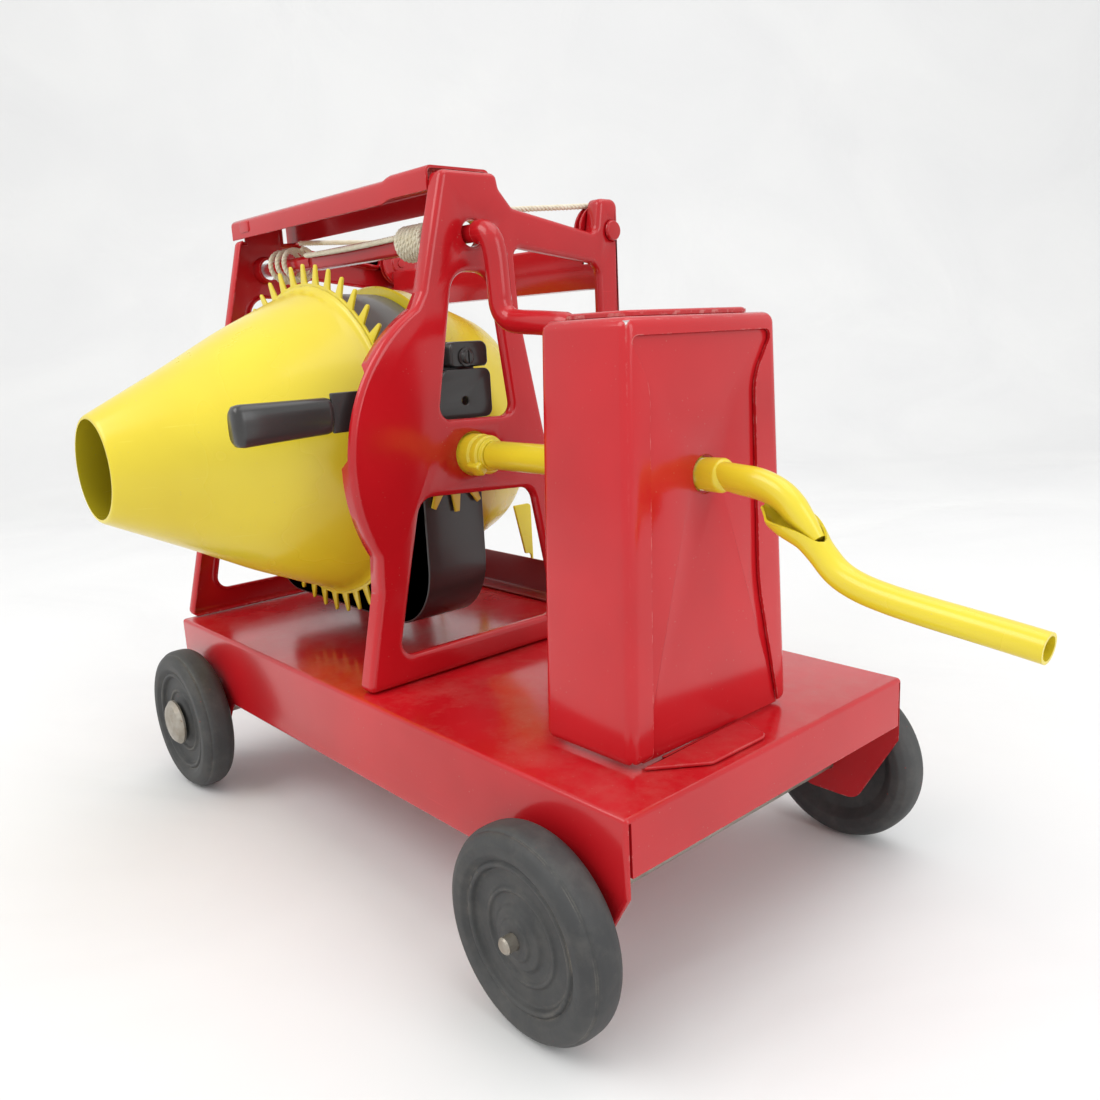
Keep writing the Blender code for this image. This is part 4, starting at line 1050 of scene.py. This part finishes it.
def build_housing():
    low, high = mm_box("housing_wrap")
    z0, z1 = low.z, high.z
    spread_x, spread_y = 1.3, 4.4
    x0, x1 = low.x + spread_x, high.x - spread_x
    y0, y1 = low.y + spread_y, high.y - spread_y
    wrap = to_object("cover_wrap", flared(x0, x1, y0, y1, z0, z1, spread_x, spread_y), RED[0])
    modify(wrap, "BEVEL", width=3.2 * MM, segments=6, limit_method="ANGLE", angle_limit=math.radians(40.0))
    bake(wrap)
    carve(wrap, flared(x0 - 6.0, x1 - SHEET, y0 + SHEET, y1 - SHEET, z0 - 4.0, z1 - SHEET, spread_x,
        spread_y))
    window = [(-39.6, 60.0, 0.0), (-35.4, 174.0, 16.0), (-43.0, 186.4, 2.0), (18.6, 186.4, 2.0),
        (9.4, 173.0, 16.0)]
    window += [(10.4, 112.0, 60.0), (22.0, 60.0, 0.0)]
    carve(wrap, prism(rounded(window, 10), along_x, x1 - 4.0, x1 + 8.0))
    finish_piece(wrap, "chassis", ("housing_wrap",))
    lid = rounded([(x0 + 3.0, y0 + 6.0, 4.0), (x1 - 4.5, y0 + 6.0, 4.0), (x1 - 4.5, y1 - 6.0, 4.0),
        (x0 + 3.0, y1 - 6.0, 4.0)], 6)
    piece("cover_lid", plate([lid], along_z, z1 - 0.4, z1 + 1.7, 1.5, 5), RED, "chassis")
    panel_low, panel_high = mm_box("housing_panel")
    front = x1 - SHEET - 0.3
    lean = spread_x / (z1 - z0)
    _, shaft_y, shaft_z = mm_middle("crank_shaft")

    def on_panel(u, v, depth):
        return Vector((depth + (z1 - v) * lean, u, v))

    corners = [(panel_low.y, z0, 0.3), (panel_low.y - 0.3, z1 - 1.7, 2.0),
        (y1 - SHEET - 0.3, z1 - 1.7, 2.0)]
    outline = rounded(corners + [(panel_high.y, z0, 0.3)])
    hole = circle(shaft_y, shaft_z, 5.4, 48)
    piece("cover_panel", plate([outline, hole], on_panel, front - SHEET, front, 0.4, 3), RED, "chassis",
        ("housing_panel",))
    tab_low, tab_high = mm_box("housing_foot_tab")
    root, wall = tab_low.x, tab_low.x + 1.4
    foot = [(wall, tab_low.y, 0.3), (tab_high.x, tab_low.y + 15.9, 4.0),
        (tab_high.x, tab_high.y - 3.8, 4.0), (wall, tab_high.y, 0.3)]
    foot += [(root, tab_high.y, 0.3), (root, -35.0, 0.3), (wall, -35.0, 0.3)]
    piece("cover_foot", plate([rounded(foot)], along_z, tab_low.z, tab_high.z, 0.35, 3), RED, "chassis",
        ("housing_foot_tab",))


# ---------------------------------------------------------------- crank


def trough(points, radius, wall, gap_at, gap_side):
    """Tube with a slot whose width, in radians, is gap_at(index) and which faces gap_side."""
    bm = bmesh.new()
    count = 28
    rings = []
    for index, point in enumerate(points):
        before = points[max(index - 1, 0)]
        after = points[min(index + 1, len(points) - 1)]
        tangent = (after - before).normalized()
        away = (-gap_side + tangent * gap_side.dot(tangent)).normalized()
        other = tangent.cross(away)
        span = math.tau - gap_at(index)
        outer, inner = [], []
        for step in range(count + 1):
            turn = -span / 2.0 + span * step / count
            direction = away * math.cos(turn) + other * math.sin(turn)
            outer.append(bm.verts.new(point + direction * radius(index)))
            inner.append(bm.verts.new(point + direction * (radius(index) - wall)))
        rings.append(outer + inner[::-1])
    for one, two in zip(rings, rings[1:]):
        bridge(bm, one, two)
    bm.faces.new(rings[0])
    bm.faces.new(rings[-1])
    return bm


def build_crank():
    _, y, z = mm_middle("crank_shaft")
    centre = (0.0, y, z)
    stub = soft([(0.1, 0.0), (0.1, 3.0), (3.4, 3.0), (3.4, 6.0), (12.4, 6.0), (12.4, 0.0)], 0.4, 2)
    piece("shaft_stub", lathe(stub, centre, (1, 0, 0), 48), YELLOW, "crank", ("crank_stub",))
    collar = [(12.7, 0.0), (12.7, 6.4), (13.4, 7.2), (20.6, 7.2), (21.0, 6.5), (21.6, 6.3), (22.0, 6.9),
        (24.6, 6.9), (25.4, 6.2), (25.4, 5.6), (27.0, 5.3), (27.0, 0.0)]
    piece("shaft_collar", lathe(soft(collar, 0.4, 3), centre, (1, 0, 0), 64), YELLOW, "crank",
        ("crank_collar",))
    lug = rounded([(20.4, -3.0, 0.8), (26.6, -2.2, 1.2), (26.6, 2.2, 1.2), (20.4, 3.0, 0.8)], 4)

    def on_lug(u, v, depth):
        turn = math.radians(222.0)
        out = Vector((0.0, math.cos(turn), math.sin(turn)))
        across = Vector((0.0, -math.sin(turn), math.cos(turn)))
        return Vector((u, y, z)) + out * depth + across * v

    piece("collar_lug", plate([lug], on_lug, 5.0, 8.0, 0.6, 3), YELLOW, "crank")
    shaft = soft([(27.3, 0.0), (27.3, 4.7), (27.6, 5.0), (119.8, 5.0), (120.2, 4.6), (120.2, 0.0)], 0.3, 2)
    piece("shaft_tube", lathe(shaft, centre, (1, 0, 0), 48), YELLOW, "crank", ("crank_shaft",))
    ferrule = soft([(120.5, 0.0), (120.5, 4.3), (121.0, 4.7), (128.0, 4.9), (128.9, 4.4), (129.8, 3.2),
        (129.8, 0.0)], 0.4, 3)
    piece("arm_ferrule", lathe(ferrule, centre, (1, 0, 0), 40), YELLOW, "crank", ("crank_arm",))
    route = [(127.6, y, z), (133.6, y, z - 0.7), (141.0, y, z - 1.6), (148.0, y, z - 4.4),
        (154.0, y, z - 10.2), (158.0, y, z - 14.8)]
    points = curve_through([Vector(point) for point in route], 8)
    last = len(points) - 1
    bm = bmesh.new()

    def arm_reach(index, turn):
        along = index / last
        ease = 1.0 - 0.35 * max(0.0, along - 0.7) / 0.3
        return (4.0 + 0.5 * math.sin(math.pi * along)) * ease * (1.0 - 0.16 * math.cos(2.0 * turn))

    sweep(bm, points, 24, arm_reach)
    piece("arm_bent", bm, YELLOW, "crank")
    route = [(141.4, 140.9), (146.5, 139.2), (150.8, 137.2), (155.4, 134.0), (159.4, 129.6), (164.0, 125.2),
        (170.0, 122.4), (178.0, 120.6)]
    route += [(188.0, 119.2), (198.5, 118.0), (208.0, 116.9), (mm_box("crank_handle")[1].x, 115.9)]
    points = curve_through([Vector((x, y, height)) for x, height in route], 8)
    last = len(points) - 1
    closed_from = 0.34

    def radius(index):
        along = index / last
        swell = max(0.0, 1.0 - abs(along - 0.16) / 0.22)
        start = min(1.0, 0.35 + along * 9.0)
        return (3.75 + 1.75 * swell * swell * (3.0 - 2.0 * swell)) * start

    def gap_at(index):
        along = index / last
        if along >= closed_from:
            return 0.002
        return math.radians(235.0) * math.sqrt(max(0.0, 1.0 - along / closed_from))

    tube = trough(points, radius, 0.8, gap_at, Vector((0.25, -0.35, 1.0)))
    piece("handle_tube", tube, YELLOW, "crank", ("crank_handle",), 50.0)


# ---------------------------------------------------------------- yoke and lever


def build_yoke():
    """U strap round the drum, its hoop, and the tilt lever with its block and grip."""
    low, high = mm_box("yoke_strap")
    thick = 1.2
    outer = [(high.x, high.z, 0.3), (high.x, low.z, 25.0), (low.x, low.z, 25.0), (low.x, high.z, 0.3)]
    inner = [(low.x + thick, high.z, 0.3), (low.x + thick, low.z + thick, 23.8),
        (high.x - thick, low.z + thick, 23.8), (high.x - thick, high.z, 0.3)]
    solid = plate([rounded(outer + inner, 14)], along_y, low.y, high.y, 0.45, 3)
    piece("yoke_band", solid, BLACK, "yoke", ("yoke_strap",), 45.0)
    ring_low, ring_high = mm_box("yoke_hoop")
    centre = ((ring_low.x + ring_high.x) / 2.0, 0.0, (ring_low.z + ring_high.z) / 2.0)
    radius = (ring_high.z - ring_low.z) / 2.0
    hoop = [(ring_low.y, radius - 1.8), (ring_high.y, radius - 1.8), (ring_high.y, radius - 0.4),
        (ring_high.y - 0.6, radius)]
    hoop += [((ring_low.y + ring_high.y) / 2.0, radius + 0.3), (ring_low.y + 0.6, radius),
        (ring_low.y, radius - 0.4)]
    piece("grey_hoop", lathe(hoop, centre, (0, 1, 0), 128, True), GREY, "yoke", ("yoke_hoop",))
    low, high = mm_box("tilt_lever_bar")
    end_plate = [(low.y, low.z, 0.5), (high.y, low.z, 3.0), (high.y, high.z, 3.0), (-17.2, high.z, 3.0),
        (-20.4, low.z + 13.2, 3.0), (low.y, low.z + 13.2, 0.5)]
    dimple = circle(-9.0, low.z + 6.4, 1.5, 20)
    piece("lever_plate", plate([rounded(end_plate), dimple], along_x, low.x, high.x, 0.45, 3), BLACK,
        "yoke", ("tilt_lever_bar",))
    low, high = mm_box("lever_block")
    hole = circle(-6.2, 181.4, 1.7, 24)
    outline = rounded([(low.y, low.z, 2.0), (high.y, low.z, 2.0), (high.y, high.z, 3.0),
        (low.y, high.z, 3.0)])
    piece("lever_lug", plate([outline, hole], along_x, low.x, high.x, 0.8, 4), BLACK, "yoke",
        ("lever_block",))
    build_grip()


def build_grip():
    """Folded sheet sleeve on the lever, wide and slightly crowned; the real sleeve is open along its lower
    edge, but this loft is closed.
    """
    low, high = mm_box("tilt_lever_grip")
    x, z = (low.x + high.x) / 2.0, (low.z + high.z) / 2.0
    sections = []
    stations = [(0.0, 4.6, 2.5), (0.6, 5.6, 3.1), (2.0, 6.0, 3.4), (12.0, 6.2, 3.9), (24.0, 6.5, 4.1),
        (31.0, 6.7, 4.2), (33.0, 6.3, 3.9), (34.0, 5.0, 2.8)]
    for along, tall, wide in stations:
        ring = []
        for step in range(48):
            turn = math.tau * step / 48
            cos, sin = math.cos(turn), math.sin(turn)
            square = 0.72
            across = wide * math.copysign(abs(cos) ** square, cos)
            rise = tall * math.copysign(abs(sin) ** square, sin)
            ring.append(Vector((x + across, high.y - along, z + rise - 0.02 * along)))
        sections.append(ring)
    piece("lever_grip", loft(sections), BLACK, "yoke", ("tilt_lever_grip",), 50.0)


# ---------------------------------------------------------------- winch and pulleys


def build_winch():
    low, high = mm_box("winch_bar")
    y, z = (low.y + high.y) / 2.0, (low.z + high.z) / 2.0
    centre = (0.0, y, z)
    rod = soft([(low.x, 0.0), (low.x, 2.4), (low.x + 0.8, 3.1), (-96.0, 3.1), (-96.0, 0.0)], 0.3, 2)
    piece("winch_rod_far", lathe(rod, centre, (1, 0, 0), 40), RED, "winch", ("winch_bar",))
    stations = [(-97.0, 0.55), (-95.0, 0.9), (-92.0, 1.0), (-30.0, 1.0), (-27.0, 0.9), (-25.5, 0.6)]
    rings = []
    for x, size in stations:
        section = rounded([(y - 2.9 * size, z - 3.8 * size, 1.3), (y + 2.9 * size, z - 3.8 * size, 1.3),
            (y + 2.9 * size, z + 3.8 * size, 1.3), (y - 2.9 * size, z + 3.8 * size, 1.3)], 5)
        rings.append([Vector((x, u, v)) for u, v in section])
    piece("winch_strip", loft(rings), RED, "winch")
    rod = soft([(-27.0, 0.0), (-27.0, 3.1), (19.0, 3.1), (19.0, 0.0)], 0.3, 2)
    piece("winch_rod_near", lathe(rod, centre, (1, 0, 0), 40), RED, "winch")
    bend = [(18.8, y, z), (21.6, y, z - 0.1), (24.4, y + 0.1, z - 1.6), (26.2, y + 0.4, z - 4.6),
        (26.8, y + 0.8, z - 9.0)]
    bend += [(27.0, y + 1.0, z - 14.0), (27.2, y + 1.2, z - 21.0), (27.3, y + 1.3, z - 24.4),
        (28.4, y + 1.7, z - 27.6)]
    bend += [(31.2, y + 2.2, z - 29.9), (35.0, y + 2.5, z - 30.8), (46.0, y + 3.0, z - 31.7),
        (60.0, y + 3.6, z - 33.0)]
    points = curve_through([Vector(point) for point in bend], 6)
    last = len(points) - 1

    def reach(index, turn):
        return 3.4 if index in (0, last) else 4.1

    bm = bmesh.new()
    sweep(bm, points, 32, reach)
    piece("winch_handle_tube", bm, RED, "winch", ("winch_crank", "winch_handle"))


def build_pulleys():
    for side in ("near", "far"):
        low, high = mm_box("pulley_%s" % side)
        y, z = (low.y + high.y) / 2.0, (low.z + high.z) / 2.0
        radius, width = (high.z - low.z) / 2.0, high.x - low.x
        half = [(0.0, 2.08), (0.0, 4.6), (0.5, 5.2), (0.5, radius - 2.0), (0.1, radius - 1.0),
            (0.2, radius - 0.2), (0.6, radius)]
        half += [(0.9, radius - 0.4), (1.1, radius - 2.4)]
        profile = half + [(width - a, r) for a, r in reversed(half)]
        solid = lathe(soft(profile, 0.25, 2), (low.x, y, z), (1, 0, 0), 64, True)
        piece("sheave_%s" % side, solid, RED, "pulley_%s" % side, ("pulley_%s" % side,))


def main():
    build_camera()
    build_lights()
    build_floor()
    dress_nodes()
    build_wheels()
    build_drum()
    build_cords()
    build_strands()
    build_side_frames()
    build_deck()
    build_channel()
    build_housing()
    build_crank()
    build_yoke()
    build_winch()
    build_pulleys()
    build_screw()
    soften_all()


main()
